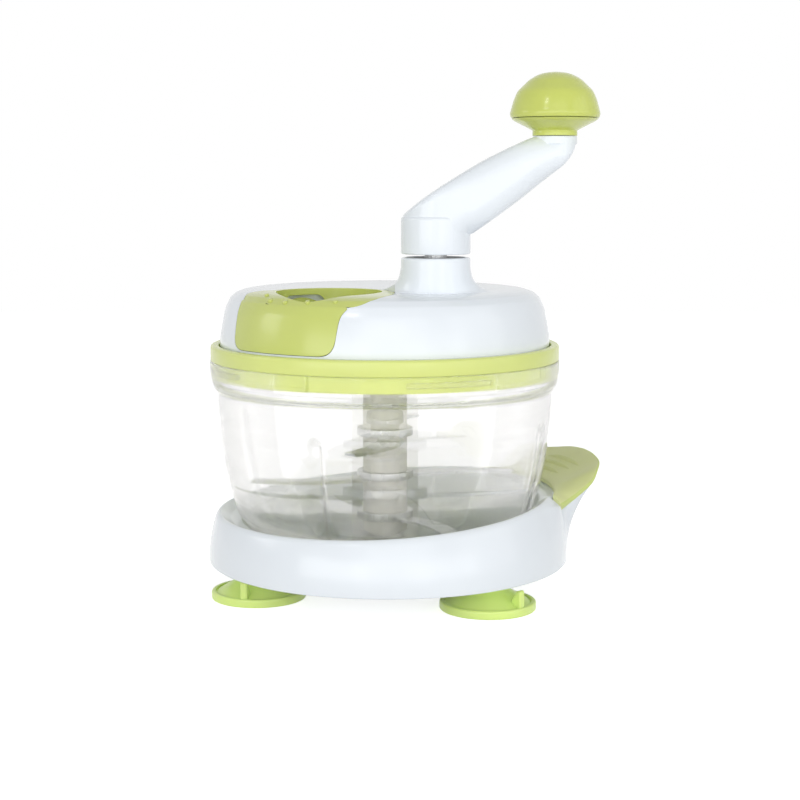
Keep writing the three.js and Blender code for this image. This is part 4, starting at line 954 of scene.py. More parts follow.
@dataclass
class SuctionLever:
    """The olive pad that works the cups, with its ribs and its hinged ends."""

    tray: Tray
    scoop: float = 1.3
    rib_reaches: Point = (101.4, 107.0, 112.0)
    rib_fronts: Point = (7.1, 8.6, 10.5)
    rib_back: float = 13.0
    rib_width: float = 2.2
    rib_rise: float = 1.9
    rib_sunk: float = 0.5
    rib_power: float = 0.7
    rib_least: float = 0.05
    hinge: Flat = (79.0, 44.0)
    half_span: float = 45.04
    ear: float = 2.4
    barrel: float = 3.0
    arm: Flat = (4.0, 6.4)
    nose: tuple[Flat, ...] = (
        (1.2, -0.9), (-0.6, 1.4), (-5.2, -1.7), (-6.0, -3.0), (-5.2, -4.2), (-3.9, -4.3))
    lip: float = 1.0

    def top(self, radius: float, away: float) -> float:
        """Returns the height of the pad's top."""
        reach, height = self.tray.pad_edge(away)
        share = (radius - self.tray.pad_inner) / (reach - self.tray.pad_inner)
        dish = self.scoop * (1 - away / self.tray.half_span) * 4 * share * (1 - share)
        return blend(self.tray.rim(away), height, share) - dish

    def section(self, azimuth: float) -> list[Flat]:
        """Returns the pad's closed section at an azimuth."""
        away = abs(turn_between(azimuth, self.tray.azimuth))
        inner, thickness = self.tray.pad_inner, self.tray.pad_thickness
        reach, height = self.tray.pad_edge(away)
        across = [(radius, self.top(radius, away)) for radius in spread(reach - 1.0, inner + 0.5, 12)]
        return rounded([
            (inner, self.tray.rim(away) - thickness, 0.4),
            (reach - self.tray.undercut, height - thickness, 0.7), (reach, height - 0.5, 0.5),
            *across, (inner, self.tray.rim(away) - 0.4)], steps=3)

    def rib(self, reach: float, front: float) -> Shape:
        """Returns one crescent rib, pointed at both ends."""

        def section(azimuth: float) -> list[Flat]:
            """Returns the rib's section at an azimuth, a low arch on the pad."""
            turn = azimuth - self.tray.azimuth
            share = clamp((turn + front) / (self.rib_back + front))
            swell = max(math.sin(math.pi * share) ** self.rib_power, self.rib_least)
            base, rise = self.top(reach, abs(turn)) - self.rib_sunk, self.rib_rise + self.rib_sunk
            return [(reach + self.rib_width / 2 * swell * math.cos(math.radians(angle)),
                     base + rise * swell * math.sin(math.radians(angle))) for angle in spread(-30, 210, 10)]

        start, end = self.tray.azimuth - front, self.tray.azimuth + self.rib_back
        return polar(section, spread(start, end, 44), ring=False)

    def end(self, side: int) -> Shape:
        """Returns the ear, barrel and nose at one end of the pad."""
        x, z = self.hinge
        top = self.tray.rim(self.tray.half_span) - self.tray.pad_thickness / 2
        inner, outer = (x + out for out in self.arm)
        plate = rounded([(x - 1.5, z - self.barrel, 1), (x + 3, z - 1.5, 1), (outer, z + self.barrel, 2),
                         (outer, top - self.tray.pad_thickness), (inner, top), (inner, z + self.barrel, 2),
                         (x - 1.5, z + self.barrel, 1)])
        nose = [(x + out, z + up) for out, up in self.nose]
        flat = prism(plate, 0, self.ear, 0.3).add(
            prism(circle(self.barrel, x, z, PIN_ROUND), -0.02, self.ear + 0.02, 0.3),
            prism(nose, 0.05, self.ear - 0.05, 0.3))
        face = self.half_span if side > 0 else self.ear - self.half_span
        return flat.upright().moved(y=face).turned(self.tray.azimuth)

    def build(self) -> None:
        """Builds the lever. Its rim is a paler green than its face."""
        turns = spread(self.tray.azimuth - self.tray.half_span, self.tray.azimuth + self.tray.half_span, 160)
        shape = polar(self.section, turns, ring=False).add(self.end(1), self.end(-1))
        shape.add(*(self.rib(reach, front) for reach, front in zip(self.rib_reaches, self.rib_fronts)))
        thing = to_object(shape, "lever_pad")
        place(thing, Finish.PAD.made, "lever_plastic", "lever", "suction_lever")
        thing.data.materials.append(Finish.LIP.made)
        for face in thing.data.polygons:
            x, y = (value / METRES for value in face.center[:2])
            radius = math.hypot(x - AXIS[0], y - AXIS[1])
            azimuth = math.degrees(math.atan2(y - AXIS[1], x - AXIS[0]))
            reach, _ = self.tray.pad_edge(abs(turn_between(azimuth, self.tray.azimuth)))
            if radius > reach - self.lip:
                face.material_index = 1


@dataclass
class Bowl:
    """The clear bowl, with its flutes and the ribs that hold the lid."""

    wall: float = 2.4
    rim_wall: float = 2.7
    rim_depth: float = 10.0
    flutes: tuple[float, ...] = (-113, -23, 67, 157)
    flute_depth: float = 1.5
    flute_half_turn: float = 3.4
    flute_top: float = 97.0
    flute_fade: float = 8.0
    flute_steep: float = 1.6
    flute_run_out: float = 4.0
    rib_azimuth: float = -158.5
    rib_turn: float = 28.5
    rib_radii: Flat = (-1.3, 0.8)
    rib_heights: Flat = (-5.8, -3.0)

    def draw(self, azimuth: float, height: float) -> float:
        """Returns how far a flute draws the wall in."""
        away = min(abs(turn_between(azimuth, at)) for at in self.flutes) / self.flute_half_turn
        if away >= 1:
            return 0.0
        arch = self.flute_top - self.flute_fade * (1 - math.sqrt(1 - away * away))
        depth = self.flute_depth * ease((1 - away) * self.flute_steep)
        return depth * ease((arch - height) / self.flute_run_out)

    def outline(self) -> list[Flat]:
        """Returns the bowl's outer profile."""
        return flow([(BOWL_RADIUS * out, BOWL_FOOT + BOWL_HEIGHT * up) for out, up in BOWL_SHARES], 5)

    def section(self, azimuth: float) -> list[Flat]:
        """Returns the bowl's closed section at an azimuth."""
        outer = self.outline()
        inner = [(radius, height) for radius, height in offset(outer, self.wall)
                 if BOWL_FOOT + self.wall < height < RIM - self.rim_depth - 0.5][::-1]
        inside = BOWL_RADIUS - self.rim_wall
        rim = rounded([outer[-1], (BOWL_RADIUS, RIM, 0.8), (inside, RIM, 0.6),
                       (inside, RIM - self.rim_depth, 0.8), inner[0]], closed=False)
        drawn = [[(radius - self.draw(azimuth, height), height) for radius, height in line]
                 for line in (outer, inner)]
        return [(0, BOWL_FOOT), *drawn[0], *rim[1:-1], *drawn[1], (0, BOWL_FOOT + self.wall)]

    def build(self) -> None:
        """Builds the bowl."""
        shape = polar(self.section, spread(0, 360, 360)[:-1])
        radii = tuple(BOWL_RADIUS - self.rim_wall + out for out in self.rib_radii)
        heights = tuple(RIM + up for up in self.rib_heights)
        for azimuth in quarters(self.rib_azimuth):
            shape.add(curved_block(radii, heights, azimuth, self.rib_turn))
        place(to_object(shape, "bowl_body"), Finish.BOWL.made, "clear_plastic", "bowl", "bowl")


@dataclass
class LidRing:
    """The pale green ring that closes the bowl, with its skirt and bayonet lugs."""

    outer: float = 95.3
    inner: float = 90.9
    crown: float = 8.6
    floor_top: float = 2.6
    floor_thickness: float = 2.5
    skirt_outer: float = 91.2
    skirt_wall: float = 2.4
    skirt_bottom: float = -8.6
    lug_azimuth: float = -127.7
    lug_turn: float = 26.0
    lug_height: float = 2.1
    lug_reach: float = 0.9
    stop_turn: float = 1.6
    stop_height: float = 7.7
    post: float = 10.0
    post_top: float = 8.1
    shaft_hole: float = 8.9
    drive_hole: float = 10.0
    chute_hole: tuple[Flat, Flat] = ((-54.3, -32.7), (-52.3, -13.7))
    through: Flat = (-3.0, 5.0)
    screws: tuple[float, ...] = (15, 105, 190, 275)

    def body(self) -> Shape:
        """Returns the ring with its floor and skirt."""
        low, inside = self.floor_top - self.floor_thickness, self.skirt_outer - self.skirt_wall
        return revolve(rounded([
            (0, low), (inside, low, 1), (inside, self.skirt_bottom, 0.5),
            (self.skirt_outer, self.skirt_bottom, 0.6), (self.skirt_outer, PLAY), (self.outer, PLAY, 0.5),
            (self.outer, self.crown, 1.8), (self.inner, self.crown, 0.7), (self.inner, self.floor_top, 0.7),
            (0, self.floor_top)]), FINE_ROUND)

    def lugs(self) -> Shape:
        """Returns the four lugs, each with the stop at its end."""
        shape, low = Shape(), self.skirt_bottom
        radii = (self.skirt_outer - 0.6, self.skirt_outer + self.lug_reach)
        for azimuth in quarters(self.lug_azimuth):
            end = azimuth + (self.lug_turn - self.stop_turn) / 2
            shape.add(curved_block(radii, (low, low + self.lug_height), azimuth, self.lug_turn),
                      curved_block(radii, (low, low + self.stop_height), end, self.stop_turn))
        return shape

    def build(self) -> None:
        """Builds the ring, with the openings for the gears, the chute and the screws."""
        low = self.floor_top - self.floor_thickness
        thing = to_object(self.body().moved(z=RIM), "lid_ring_body")
        carve(thing, rod(self.post, low + 0.4, self.post_top, 0.5).moved(*CRANK_PLACE, RIM), Carve.JOIN)
        cuts = [rod(self.shaft_hole, self.floor_top, 12).moved(*CRANK_PLACE),
                rod(self.drive_hole, *self.through), prism(oblong(*self.chute_hole), *self.through)]
        cuts += [rod(SCREW_HOLE, self.through[0], self.crown).moved(SCREW_ORBIT).turned(azimuth)
                 for azimuth in self.screws]
        for tool in cuts:
            carve(thing, tool.moved(z=RIM), Carve.CUT)
        place(thing, Finish.RING.made, "ring_plastic", "lid", "lid_ring")
        place(to_object(self.lugs().moved(z=RIM), "lid_lugs"), Finish.RING.made, "ring_plastic", "lid")


@dataclass
class Cover:
    """The white domed cover with its neck, and the green filler insert that is let into it."""

    bottom: float = 2.9
    top: float = 38.8
    radius: float = 90.0
    wall: float = 2.5
    shares: tuple[Flat, ...] = ((1, 0), (1, 0.12), (1, 0.24), (0.994, 0.354), (0.98, 0.55), (0.964, 0.716),
                                (0.936, 0.866), (0.906, 0.93), (0.889, 0.953), (0.844, 0.983), (0.778, 1))
    crease_row: int = 6
    neck: float = 18.2
    neck_top: float = 56.9
    flare: float = 16.0
    flare_rise: float = 13.0
    flare_growth: float = 0.6
    flare_rows: tuple[Flat, ...] = ((1.3, -0.03), (1, 0.0), (0.7, 0.07), (0.45, 0.2), (0.14, 0.52), (0, 1))
    panel_azimuth: float = 231.8
    panel_width: float = 69.5
    panel_bottom: float = 9.6
    panel_corner: float = 8.0
    panel_taper: float = 1.0
    panel_over: float = 2.5
    crease_height: float = 34.0
    crease_reach: float = 84.3
    flare_turn: float = 3.5
    flare_reach: float = 2.6
    flare_start: float = 29.5
    margin: float = 3.5
    clearance: float = 14.0
    back_turn: Flat = (10.0, 160.0)
    left_tip: Flat = (-72.0, -31.0)
    right_tip: Flat = (5.3, -37.4)
    bend: Flat = (6.8, -84.0)
    well: Point = (-29.0, -33.0, 28.0)
    well_front: float = 13.0
    well_azimuth: float = 263.0
    well_depth: float = 12.0
    well_corner: float = 3.5
    well_wall: float = 2.0
    window: Flat = (97.0, 150.0)
    window_drop: float = 3.3
    window_corner: float = 5.0
    slot_shift: float = 19.0
    slot_inset: float = 2.0
    slot_trim: float = 1.5
    through: Flat = (-4.0, 1.0)
    dots: tuple[Flat, ...] = ((78, 219), (82.3, 225), (82.8, 232.8), (82.3, 242.4), (81.3, 252.8))
    dot: Point = (1.3, -0.8, 0.9)
    dot_edge: float = 0.7
    dot_tilt: float = 20.0
    boss: float = 4.2
    boss_gap: float = 4.6
    guide: Flat = (7.7, 9.7)
    guide_heights: Flat = (21.5, 37.5)

    def profile(self) -> list[Flat]:
        """Returns the cover's outer profile, with its crease between the side and the deck."""
        rows = [(self.radius * out, self.bottom + (self.top - self.bottom) * up) for out, up in self.shares]
        return [*flow(rows[:self.crease_row + 1], 4), *flow(rows[self.crease_row:], 4)[1:]]

    def shell(self) -> Shape:
        """Returns the domed shell."""
        outer = self.profile()
        inner = offset(outer, self.wall)[::-1]
        inner[-1] = (self.radius - self.wall, self.bottom)
        return revolve([*outer, (0, self.top), (0, self.top - self.wall), *inner], FINE_ROUND)

    def neck_section(self, azimuth: float) -> list[Flat]:
        """Returns the neck's section: flared at the back and sides, straight at the front."""
        front = math.cos(math.radians(turn_between(azimuth, -90)))
        flare = self.flare * ease((1 - front) * self.flare_growth)
        inner = self.neck - self.wall
        rows = [(self.neck + flare * out, self.top + self.flare_rise * up) for out, up in self.flare_rows]
        side = flow(rows, 5)
        foot = (side[0][0], self.top - self.wall)
        lip = rounded([side[-1], (self.neck, self.neck_top, 1.4), (inner, self.neck_top)], closed=False)
        return [(inner, foot[1]), foot, *side, *lip[1:]]

    def deck_outline(self) -> list[Flat]:
        """Returns the insert's outline on the deck, anticlockwise from its right tip."""
        half = math.degrees(math.asin(self.panel_width / 2 / self.radius))
        left, right = self.panel_azimuth - half, self.panel_azimuth + half + self.flare_turn
        leads = (at_azimuth(self.crease_reach, right), self.bend, self.right_tip)
        edge = [tuple(point) for point in curve(leads, 20)]
        x, y, radius = self.well
        back = arc(radius + self.margin, *self.back_turn, 40, x, y)
        outside = arc(self.radius + self.clearance, left, right, 2)
        return [*edge, *back, self.left_tip, at_azimuth(self.crease_reach, left), *outside]

    def deck_cutter(self, margin: float) -> Shape:
        """Returns what cuts the insert's deck free."""
        outline = grow(self.deck_outline(), margin)
        return prism(outline, self.crease_height - margin, self.top + self.flare_rise)

    def panel_cutter(self, margin: float) -> Shape:
        """Returns what cuts the insert's side panel free."""
        half, low = self.panel_width / 2 + margin, self.panel_bottom - margin
        high = self.crease_height + self.panel_over
        wide, foot, corner = half + self.flare_reach, half - self.panel_taper, self.panel_corner
        outline = rounded([(-foot, low, corner), (foot, low, corner), (half, self.flare_start, 4),
                           (wide, self.crease_height - 0.2), (wide, high), (-half, high)], steps=8)
        flat = prism(outline, self.radius - self.clearance, self.radius + self.clearance)
        return flat.changed(lambda x, y, z: (z, x, y)).turned(self.panel_azimuth)

    def crescent(self) -> list[Flat]:
        """Returns the outline of the slot in the well's floor."""
        outer, inner, shift = self.well[2] - self.slot_inset, self.well[2], self.slot_shift
        x = (shift ** 2 + outer ** 2 - inner ** 2) / (2 * shift)
        a = math.degrees(math.acos(x / outer))
        b = math.degrees(math.acos((x - shift) / inner))
        first = arc(outer, a + self.slot_trim, 360 - self.slot_trim - a, 40)
        return [*first, *arc(inner, 360 - b, b, 40, shift)[1:-1]]

    def well_outline(self, margin: float) -> list[Flat]:
        """Returns the well's outline: round at the back, drawn out at the front."""
        line, toward = [], math.radians(self.well_azimuth)
        for x, y in circle(self.well[2] + margin, sides=FINE_ROUND):
            forward = max(math.cos(math.atan2(y, x) - toward), 0.0) ** 2 * self.well_front
            line.append((x + forward * math.cos(toward), y + forward * math.sin(toward)))
        return line

    def well_shape(self, profile: Sequence[Flat]) -> Shape:
        """Returns a body over the well's outline, from rows of margin and height."""
        loops = [[(x, y, height) for x, y in self.well_outline(margin)] for margin, height in profile]
        return loft(loops, ring=False)

    def window_cutter(self) -> Shape:
        """Returns what opens the well's back wall towards the chute."""
        x, y, radius = self.well
        start, end = self.window
        low, high = self.top - self.well_depth + 1, self.top - self.window_drop
        across, corner = math.radians(end - start) * radius, self.window_corner
        outline = [*[(along, low) for along in spread(0, across, 16)],
                   *arc(corner, 0, 90, 8, across - corner, high - corner),
                   *[(along, high) for along in spread(across - corner, corner, 16)[1:-1]],
                   *arc(corner, 90, 180, 8, corner, high - corner)]
        flat = prism(outline, radius - 2, radius + 3)

        def wrap(along: float, up: float, out: float) -> Point:
            """Bends the flat cutter round the well."""
            turn = math.radians(start) + along / radius
            return x + out * math.cos(turn), y + out * math.sin(turn), up

        return flat.changed(wrap)

    def screen(self) -> Shape:
        """Returns the curved wall that hangs from the cover behind the window."""
        x, y, radius = self.well
        start, end = self.window
        inner = radius + self.margin + 2 * PLAY
        heights = (self.top - self.well_depth, self.top - self.wall / 2)
        return curved_block((inner, inner + 2), heights, (start + end) / 2, end - start).moved(x, y)

    def build_cover(self) -> None:
        """Builds the cover and its neck."""
        thing = to_object(self.shell().moved(z=RIM), "cover_shell")
        neck = polar(self.neck_section, spread(-90, 270, HUB_ROUND)[:-1])
        carve(thing, neck.moved(*CRANK_PLACE, RIM), Carve.JOIN)
        hole = rod(self.neck - self.wall, *(self.top + up for up in self.through)).moved(*CRANK_PLACE)
        for tool in (self.deck_cutter(PLAY), self.panel_cutter(PLAY), hole):
            carve(thing, tool.moved(z=RIM), Carve.CUT)
        place(thing, Finish.WHITE.made, "white_plastic", "lid", "lid_cover")
        foot = (0.3, 0.4, 0, 0)
        tube = oblong((SCREW_HOLE, self.boss), (self.bottom, self.top - self.boss_gap), foot)
        tube = revolve(tube, PIN_ROUND).moved(SCREW_ORBIT)
        guide = revolve(oblong(self.guide, self.guide_heights, foot), SMALL_ROUND)
        bosses = Shape().add(*(tube.turned(azimuth) for azimuth in LidRing().screws), guide, self.screen())
        place(to_object(bosses.moved(z=RIM), "cover_bosses"), Finish.WHITE.made, "white_plastic", "lid")

    def build_insert(self) -> None:
        """Builds the filler insert: its skin, its well with the slot, and its small dots."""
        deck = to_object(self.shell(), "filler_body")
        panel = to_object(self.shell(), "panel")
        carve(deck, self.deck_cutter(0), Carve.KEEP)
        carve(panel, self.panel_cutter(0), Carve.KEEP)
        carve(deck, panel, Carve.JOIN)
        x, y, _ = self.well
        floor = self.top - self.well_depth
        wall = self.well_wall
        rows = [(0.5, floor - wall), (wall - 0.3, floor - wall + 0.4), (wall, floor), (wall, self.top)]
        cup = to_object(self.well_shape(rows).moved(x, y), "cup")
        under = revolve([*self.profile(), (0, self.top), (0, self.bottom)], FINE_ROUND)
        carve(cup, under.moved(z=-PLAY), Carve.KEEP)
        carve(deck, cup, Carve.JOIN)
        corner = [(self.well_corner * (math.sin(turn) - 1), floor + self.well_corner * (1 - math.cos(turn)))
                  for turn in spread(0, math.pi / 2, 6)]
        carve(deck, self.well_shape([*corner, (0, self.top + 3)]).moved(x, y), Carve.CUT)
        slot = prism(self.crescent(), *(floor + up for up in self.through))
        carve(deck, slot.moved(x, y), Carve.CUT)
        carve(deck, self.window_cutter(), Carve.CUT)
        for vertex in deck.data.vertices:
            vertex.co.z += RIM * METRES
        place(deck, Finish.INSERT.made, "green_plastic", "lid", "filler_insert")
        dots, dot = Shape(), rod(*self.dot, self.dot_edge, 24).tilted(self.dot_tilt)
        fall = [(-out, up) for out, up in self.shares]
        for reach, azimuth in self.dots:
            height = blend(self.bottom, self.top, read(fall, -reach / self.radius))
            dots.add(dot.moved(reach, 0, height).turned(azimuth))
        place(to_object(dots.moved(z=RIM), "filler_dots"), Finish.INSERT.made, "green_plastic", "lid")


@dataclass
class Crank:
    """The crank arm on the neck, and the knob at its end."""

    hub: float = 18.2
    bore: float = 6.3
    bottom: float = 58.7
    throw: float = 61.6
    boss: float = 11.6
    boss_top: float = 119.4
    boss_bore: float = 3.6
    boss_depth: float = 4.0
    step: float = 0.9
    hub_height: float = 19.4
    crisp: float = 1.2
    soft: Flat = (8.5, 12.0)
    top_crisp: float = 1.4
    top_soft: Flat = (8.0, 12.0)
    limit: float = 0.45
    tip_run: float = 1.6
    tube_run: float = 2.6
    foot_run: float = 0.6
    upper: tuple[Flat, ...] = ((-0.31, 0.305), (-0.2955, 0.32), (-0.1, 0.478), (0.125, 0.629), (0.377, 0.783),
                               (0.57, 0.883), (0.677, 0.934), (0.794, 0.984), (0.88, 1), (1.2, 1))
    lower: tuple[Flat, ...] = ((0.2955, 0.17), (0.448, 0.273), (0.589, 0.376), (0.724, 0.478), (0.849, 0.58),
                               (0.974, 0.68), (1.091, 0.783), (1.156, 0.883), (1.18, 0.96), (1.2, 0.97))
    knob_bottom: float = 119.7
    knob_top: float = 152.4
    knob_radius: float = 23.3
    split: float = 0.27
    knob_wall: Flat = (2.2, 1.6)
    spindle: Flat = (3.5, 6.0)
    spindle_rise: float = 14.0
    cup_floor: Flat = (9.0, 2.4)
    seam_gap: Flat = (-0.2, 0.8)
    seam_out: float = 0.5
    seam_depth: float = 1.2
    cap_lip: Flat = (-1.8, 0.2)
    cap_rest: float = 2.0
    knob_shares: tuple[Flat, ...] = (
        (0.498, 0), (0.5, 0.04), (0.5, 0.078), (0.56, 0.105), (0.764, 0.18), (0.931, 0.245), (1, 0.33),
        (0.975, 0.425), (0.94, 0.515), (0.893, 0.61), (0.828, 0.7), (0.704, 0.79), (0.554, 0.885),
        (0.309, 0.97), (0, 1))

    def height(self, rows: Sequence[Flat], x: float) -> float:
        """Reads the arm's upper or lower line at a reach."""
        return self.bottom + (self.boss_top - self.bottom) * read(rows, x / self.throw)

    def low(self, x: float) -> float:
        """Returns the height of the arm's underside."""
        foot = self.bottom + (self.boss_top - self.bottom) * self.lower[0][1]
        return foot if x <= self.hub else self.height(self.lower, x)

    def outline(self) -> list[Flat]:
        """Returns one side of the arm's plan, from its back to its tip."""
        root = self.hub - self.step
        lean = math.degrees(math.acos((root - self.boss) / self.throw))
        back = arc(root, 180, lean, 40)
        front = arc(self.boss, lean, 0, 30, self.throw)
        (x, y), (far_x, far_y) = back[-1], front[0]
        straight = [(blend(x, far_x, t), blend(y, far_y, t)) for t in spread(0, 1, 40)]
        return [*back, *straight[1:-1], *front]

    def loop(self, place: Flat, inward: Flat, turns: Sequence[float]) -> list[Point]:
        """Returns the upright loop of points that crosses the arm at a point of its outline.

        Args:
            place: The point of the outline.
            inward: The point a millimetre inside it.
            turns: The turns of the two roundings, in radians.

        Returns:
            The loop, up one side and down the other.
        """
        (x, y), (a, b) = place, inward
        tip = ease((self.throw + self.boss - x) / (self.tip_run * self.boss))
        tube = ease((x + self.hub) / (self.tube_run * self.hub)) * tip
        free = ease((x - self.hub) / self.boss)
        half = self.limit * (self.height(self.upper, x) - self.low(x))
        meet = y - math.sqrt(max(self.hub ** 2 - x * x, 0.0)) if abs(x) < self.hub else self.soft[0]
        depth = clamp(meet, self.crisp, self.soft[0]) if x > 0 else self.crisp
        reach = min(blend(self.crisp, self.soft[1], ease(x / (self.foot_run * self.hub)) * tip), half)
        top_depth = blend(self.top_crisp, self.top_soft[0], tube)
        top_reach = min(blend(self.top_crisp, self.top_soft[1], tube), half)
        side = []
        for angle in turns[::-1]:
            share = 1 - angle / turns[-1]
            inset = blend((1 - share) ** 2, 1 - math.cos(angle), free) * blend(self.crisp, depth, tip)
            rise = blend(share, 1 - math.sin(angle), free) * reach
            here = x + (a - x) * inset
            side.append((here, max(y + (b - y) * inset, 0.0), self.low(here) + rise))
        for angle in turns:
            inset = (1 - math.cos(angle)) * top_depth
            here = x + (a - x) * inset
            height = self.height(self.upper, here) - (1 - math.sin(angle)) * top_reach
            side.append((here, max(y + (b - y) * inset, 0.0), height))
        return [*side, *[(x, -y, z) for x, y, z in side[::-1]]]

    def arm(self) -> Shape:
        """Returns the arm, a tube that is flat over the hub's back and at its tip."""
        line, turns = self.outline(), spread(0, math.pi / 2, 8)
        loops = [self.loop(place, inward, turns) for place, inward in zip(line, offset(line, -1))]
        return loft(loops, ring=False, caps=False)

    def knob(self) -> tuple[list[Flat], list[Flat]]:
        """Returns the closed profiles of the knob's two halves."""
        bottom, tall = self.knob_bottom, self.knob_top - self.knob_bottom
        line = flow([(self.knob_radius * out, bottom + tall * up) for out, up in self.knob_shares], 6)
        cut = bottom + tall * self.split
        low = [point for point in line if point[1] < cut + self.seam_gap[0]]
        high = [point for point in line if point[1] > cut + self.seam_gap[1]]
        seam, (wall, roof), (inner, outer) = low[-1][0] + self.seam_out, self.knob_wall, self.spindle
        floor, top = bottom + self.cup_floor[1], bottom + self.spindle_rise
        base = rounded([(inner, bottom), *low[:-1], (seam, cut, 0.35), (seam - wall, cut, 0.3),
                        (seam - wall, cut - self.seam_depth), (self.cup_floor[0], floor), (outer, floor),
                        (outer, top), (inner, top)])
        hollow = [(max(radius - wall, 0), height - roof) for radius, height in high[::-1]]
        inside, outside = (seam + out for out in self.cap_lip)
        rest = cut + self.cap_rest
        cap = rounded([(inside, cut + PLAY, 0.3), (outside, cut + PLAY, 0.4), *high[1:],
                       *[point for point in hollow if point[1] > rest], (inside, rest)])
        return base, cap

    def build(self) -> None:
        """Builds the arm and the knob."""
        x, y = CRANK_PLACE
        tip = (x + self.throw, y, RIM)
        hub = oblong((self.bore, self.hub), (self.bottom, self.bottom + self.hub_height), (0, 0.8, 1.6, 0))
        boss = oblong((self.boss_bore, self.boss), (self.boss_top - self.boss_depth, self.boss_top),
                      (0, 0, 0.6, 0))
        thing = to_object(self.arm().moved(x, y, RIM), "crank_arm_body")
        carve(thing, revolve(hub, HUB_ROUND).moved(x, y, RIM), Carve.JOIN)
        carve(thing, revolve(boss, HUB_ROUND).moved(*tip), Carve.JOIN)
        place(thing, Finish.WHITE.made, "white_plastic", "crank", "crank_arm")
        for name, profile in zip(("knob_base", "knob_cap"), self.knob()):
            half = to_object(revolve(profile, HUB_ROUND).moved(*tip), f"{name}_body")
            place(half, Finish.KNOB.made, "green_plastic", "knob", name)


@dataclass
class Blades:
    """The blade column and its three ground blades."""

    radius: float = 12.2
    bottom: float = 32.5
    top: float = 117.5
    thickness: float = 1.4
    width: float = 13.0
    sweep: float = 0.34
    root: float = 0.78
    front_lead: Flat = (0.62, 0.75)
    back_lead: Flat = (0.5, -0.45)
    tip_cut: Flat = (0.895, 0.42)
    bevel: float = 3.2
    bevel_share: float = 0.6
    edge: float = 0.12
    hub_wall: float = 3.3
    hub_rise: float = 3.0
    pin: Flat = (4.3, 47.0)
    socket: Flat = (9.0, 99.5)
    places: tuple[tuple[str, float, float, float], ...] = (
        ("low", 0.115, 0.721, -35.0), ("mid", 0.339, 0.794, 35.0), ("high", 0.578, 0.815, 100.0))

    def column(self) -> Shape:
        """Returns the column, open at its foot and at its top."""
        (pin, pin_top), (socket, socket_floor) = self.pin, self.socket
        return revolve(rounded([
            (0, pin_top), (pin, pin_top), (pin, self.bottom), (self.radius, self.bottom, 0.6),
            (self.radius, self.top, 0.9), (socket, self.top, 0.4), (socket, socket_floor),
            (0, socket_floor)]), CUP_ROUND)

    def wing(self, reach: float) -> Shape:
        """Returns one swept wing, ground thin along its cutting edge."""
        root, fall, wide = self.radius * self.root, reach * self.sweep, self.width
        tip = (math.sqrt(reach ** 2 - fall ** 2), -fall)
        tip_back = (tip[0] * self.tip_cut[0], tip[1] - wide * self.tip_cut[1])
        leads = (self.front_lead, self.back_lead)
        front_lead, back_lead = ((reach * out, wide * across) for out, across in leads)
        front = curve(((root, wide / 2), front_lead, tip), 30)
        back = curve(((root, -wide / 2), back_lead, tip_back), 30)
        loops = []
        for cut, rear in zip(front, back):
            ground = cut + (rear - cut) * min(self.bevel / (rear - cut).length, self.bevel_share)
            loops.append([(*rear, 0), (*cut, 0), (*cut, self.edge), (*ground, self.thickness),
                          (*rear, self.thickness)])
        return loft(loops, ring=False)

    def build(self) -> None:
        """Builds the column and the blades."""
        column = to_object(self.column(), "column_body")
        place(column, Finish.GREY.made, "grey_plastic", "blades", "blade_column")
        hub = oblong((self.radius + PLAY, self.radius + self.hub_wall), (0, self.thickness + self.hub_rise),
                     (0, 0.4, 0.6, 0.3))
        for name, height, reach, azimuth in self.places:
            wing = self.wing(reach * BOWL_RADIUS)
            shape = revolve(hub, CUP_ROUND).add(wing, wing.turned(180)).turned(azimuth)
            blade = to_object(shape.moved(z=BOWL_FOOT + BOWL_HEIGHT * height), f"cutter_{name}")
            place(blade, Finish.BLADE.made, "steel", "blades", f"blade_{name}")


class Carried:
    """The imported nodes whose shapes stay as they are."""

    finishes: dict[Finish, tuple[str, ...]] = {
        Finish.WHITE: ("base_bottom_plate", "filler_chute"),
        Finish.GEAR: ("crank_gear", "pinion", "lift_ring", "cup_stud_right", "cup_stud_left", "cup_stud_back",
                      "pinion_bush", "shaft_bush", "neck_bush"),
        Finish.GREY: ("drive_socket", "bowl_pivot_pin"),
        Finish.FASTENER: (*(f"base_screw_{number}" for number in (1, 2, 3)),
                          *(f"lid_screw_{number}" for number in (1, 2, 3, 4)), "lever_pin_back",
                          "lever_pin_front", "crank_shaft", "shaft_clip", "knob_spindle", "drive_shaft"),
    }

    def build(self) -> None:
        """Gives each of them its finish."""
        for finish, names in self.finishes.items():
            for name in names:
                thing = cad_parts[name]
                for slot in thing.material_slots:
                    slot.material = finish.made
                log.info("%s keeps its shape", name)


@dataclass(frozen=True)
class Lamp:
    """A soft flat lamp that faces the object.

    Attributes:
        name: What it is called.
        place: Where it hangs, in metres.
        size: Its width and height in metres.
        power: Its power in watts.
    """

    name: str
    place: Point
    size: Flat
    power: float

    def hang(self, target: Point) -> None:
        """Hangs the lamp, turned to a target."""
        data = bpy.data.lights.new(self.name, "AREA")
        data.shape, data.energy = "RECTANGLE", self.power
        data.size, data.size_y = self.size
        thing = bpy.data.objects.new(self.name, data)
        thing.location = self.place
        aim = Vector(target) - Vector(self.place)
        thing.rotation_euler = aim.to_track_quat("-Z", "Y").to_euler()
        bpy.context.scene.collection.objects.link(thing)


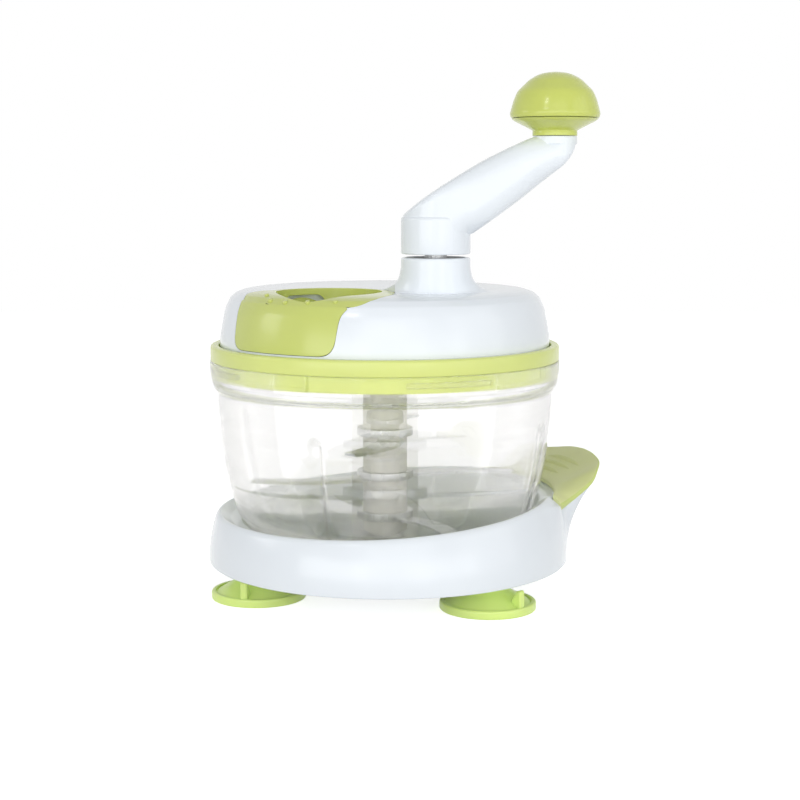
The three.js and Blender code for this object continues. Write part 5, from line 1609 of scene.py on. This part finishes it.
@dataclass
class Studio:
    """The floor, the lamps, the white surroundings and the camera."""

    camera_place: Point = (8.3, -884.7, 221.6)
    camera_pitch: float = 82.5
    lens: float = 72.70
    sensor: float = 36.0
    floor_size: float = 4.0
    floor_grey: float = 0.85
    floor_glow: float = 0.72
    world_light: float = 0.41
    world_seen: float = 0.59
    target: Point = (0, 0, 0.12)
    lamps: tuple[Lamp, ...] = (
        Lamp("key", (0.2, -1.6, 0.62), (1.3, 1.3), 4.9),
        Lamp("low", (-0.1, -1.8, 0.3), (1.1, 1.1), 2.8),
        Lamp("foot_left", (-0.85, -1.3, 0.27), (1.2, 0.5), 4.2),
        Lamp("foot_right", (0.9, -1.3, 0.27), (1.2, 0.5), 2.8),
        Lamp("spark", (-0.46, -0.95, 1.02), (0.14, 0.14), 0.7),
        Lamp("left", (-1.3, -0.1, 0.55), (0.4, 0.4), 1.1),
        Lamp("right", (1.2, -0.5, 0.5), (1.0, 1.0), 2.5))

    def camera(self) -> None:
        """Places the camera at the photograph's point of view."""
        data = bpy.data.cameras.new("camera")
        data.lens, data.sensor_width = self.lens, self.sensor
        thing = bpy.data.objects.new("camera", data)
        thing.location = in_frame(*self.camera_place)
        thing.rotation_euler = (math.radians(self.camera_pitch), 0, 0)
        bpy.context.scene.collection.objects.link(thing)
        bpy.context.scene.camera = thing

    def seen(self, graph: Graph) -> Wire:
        """Returns 1 for what the eye sees straight, mirrored or through clear plastic."""
        straight, mirrored, through = (graph.node("ShaderNodeLightPath", output=f"Is {kind} Ray")
                                       for kind in ("Camera", "Glossy", "Transmission"))
        return straight | mirrored | through

    def floor(self) -> None:
        """Lays the white floor, which keeps the object's shadow."""
        ends = (-self.floor_size / 2, self.floor_size / 2)
        mesh = bpy.data.meshes.new("floor")
        mesh.from_pydata([(x, y, 0) for x, y in oblong(ends, ends)], [], [(0, 1, 2, 3)])
        thing = bpy.data.objects.new("floor", mesh)
        bpy.context.scene.collection.objects.link(thing)
        graph = Graph(bpy.data.materials.new("floor_white"))
        diffuse = graph.node("ShaderNodeBsdfDiffuse", inputs={"Color": (*(self.floor_grey,) * 3, 1)})
        glow = graph.node("ShaderNodeEmission", inputs={
            "Color": (1, 1, 1, 1), "Strength": self.seen(graph) * self.floor_glow})
        mesh.materials.append(graph.finish(graph.node("ShaderNodeAddShader", inputs={0: diffuse, 1: glow})))

    def surroundings(self) -> None:
        """Makes the world white to the eye and plain to the object."""
        world = bpy.data.worlds.new("studio")
        bpy.context.scene.world = world
        graph = Graph(world)
        level = self.seen(graph) * self.world_seen + self.world_light
        shade = graph.node("ShaderNodeBackground", inputs={"Color": (1, 1, 1, 1), "Strength": level})
        graph.finish(shade, "ShaderNodeOutputWorld")

    def build(self) -> None:
        """Sets the stage."""
        self.camera()
        self.floor()
        self.surroundings()
        for lamp in self.lamps:
            lamp.hang(self.target)
        bpy.context.scene.view_settings.view_transform = "Standard"


def main() -> None:
    """Builds the scene, the camera first."""
    logging.basicConfig(level=logging.INFO, format="%(message)s")
    Studio().build()
    SuctionCups().build()
    tray = Tray()
    tray.build()
    SuctionLever(tray).build()
    Bowl().build()
    LidRing().build()
    cover = Cover()
    cover.build_cover()
    cover.build_insert()
    Crank().build()
    Blades().build()
    Carried().build()


if __name__ == "__main__":
    main()
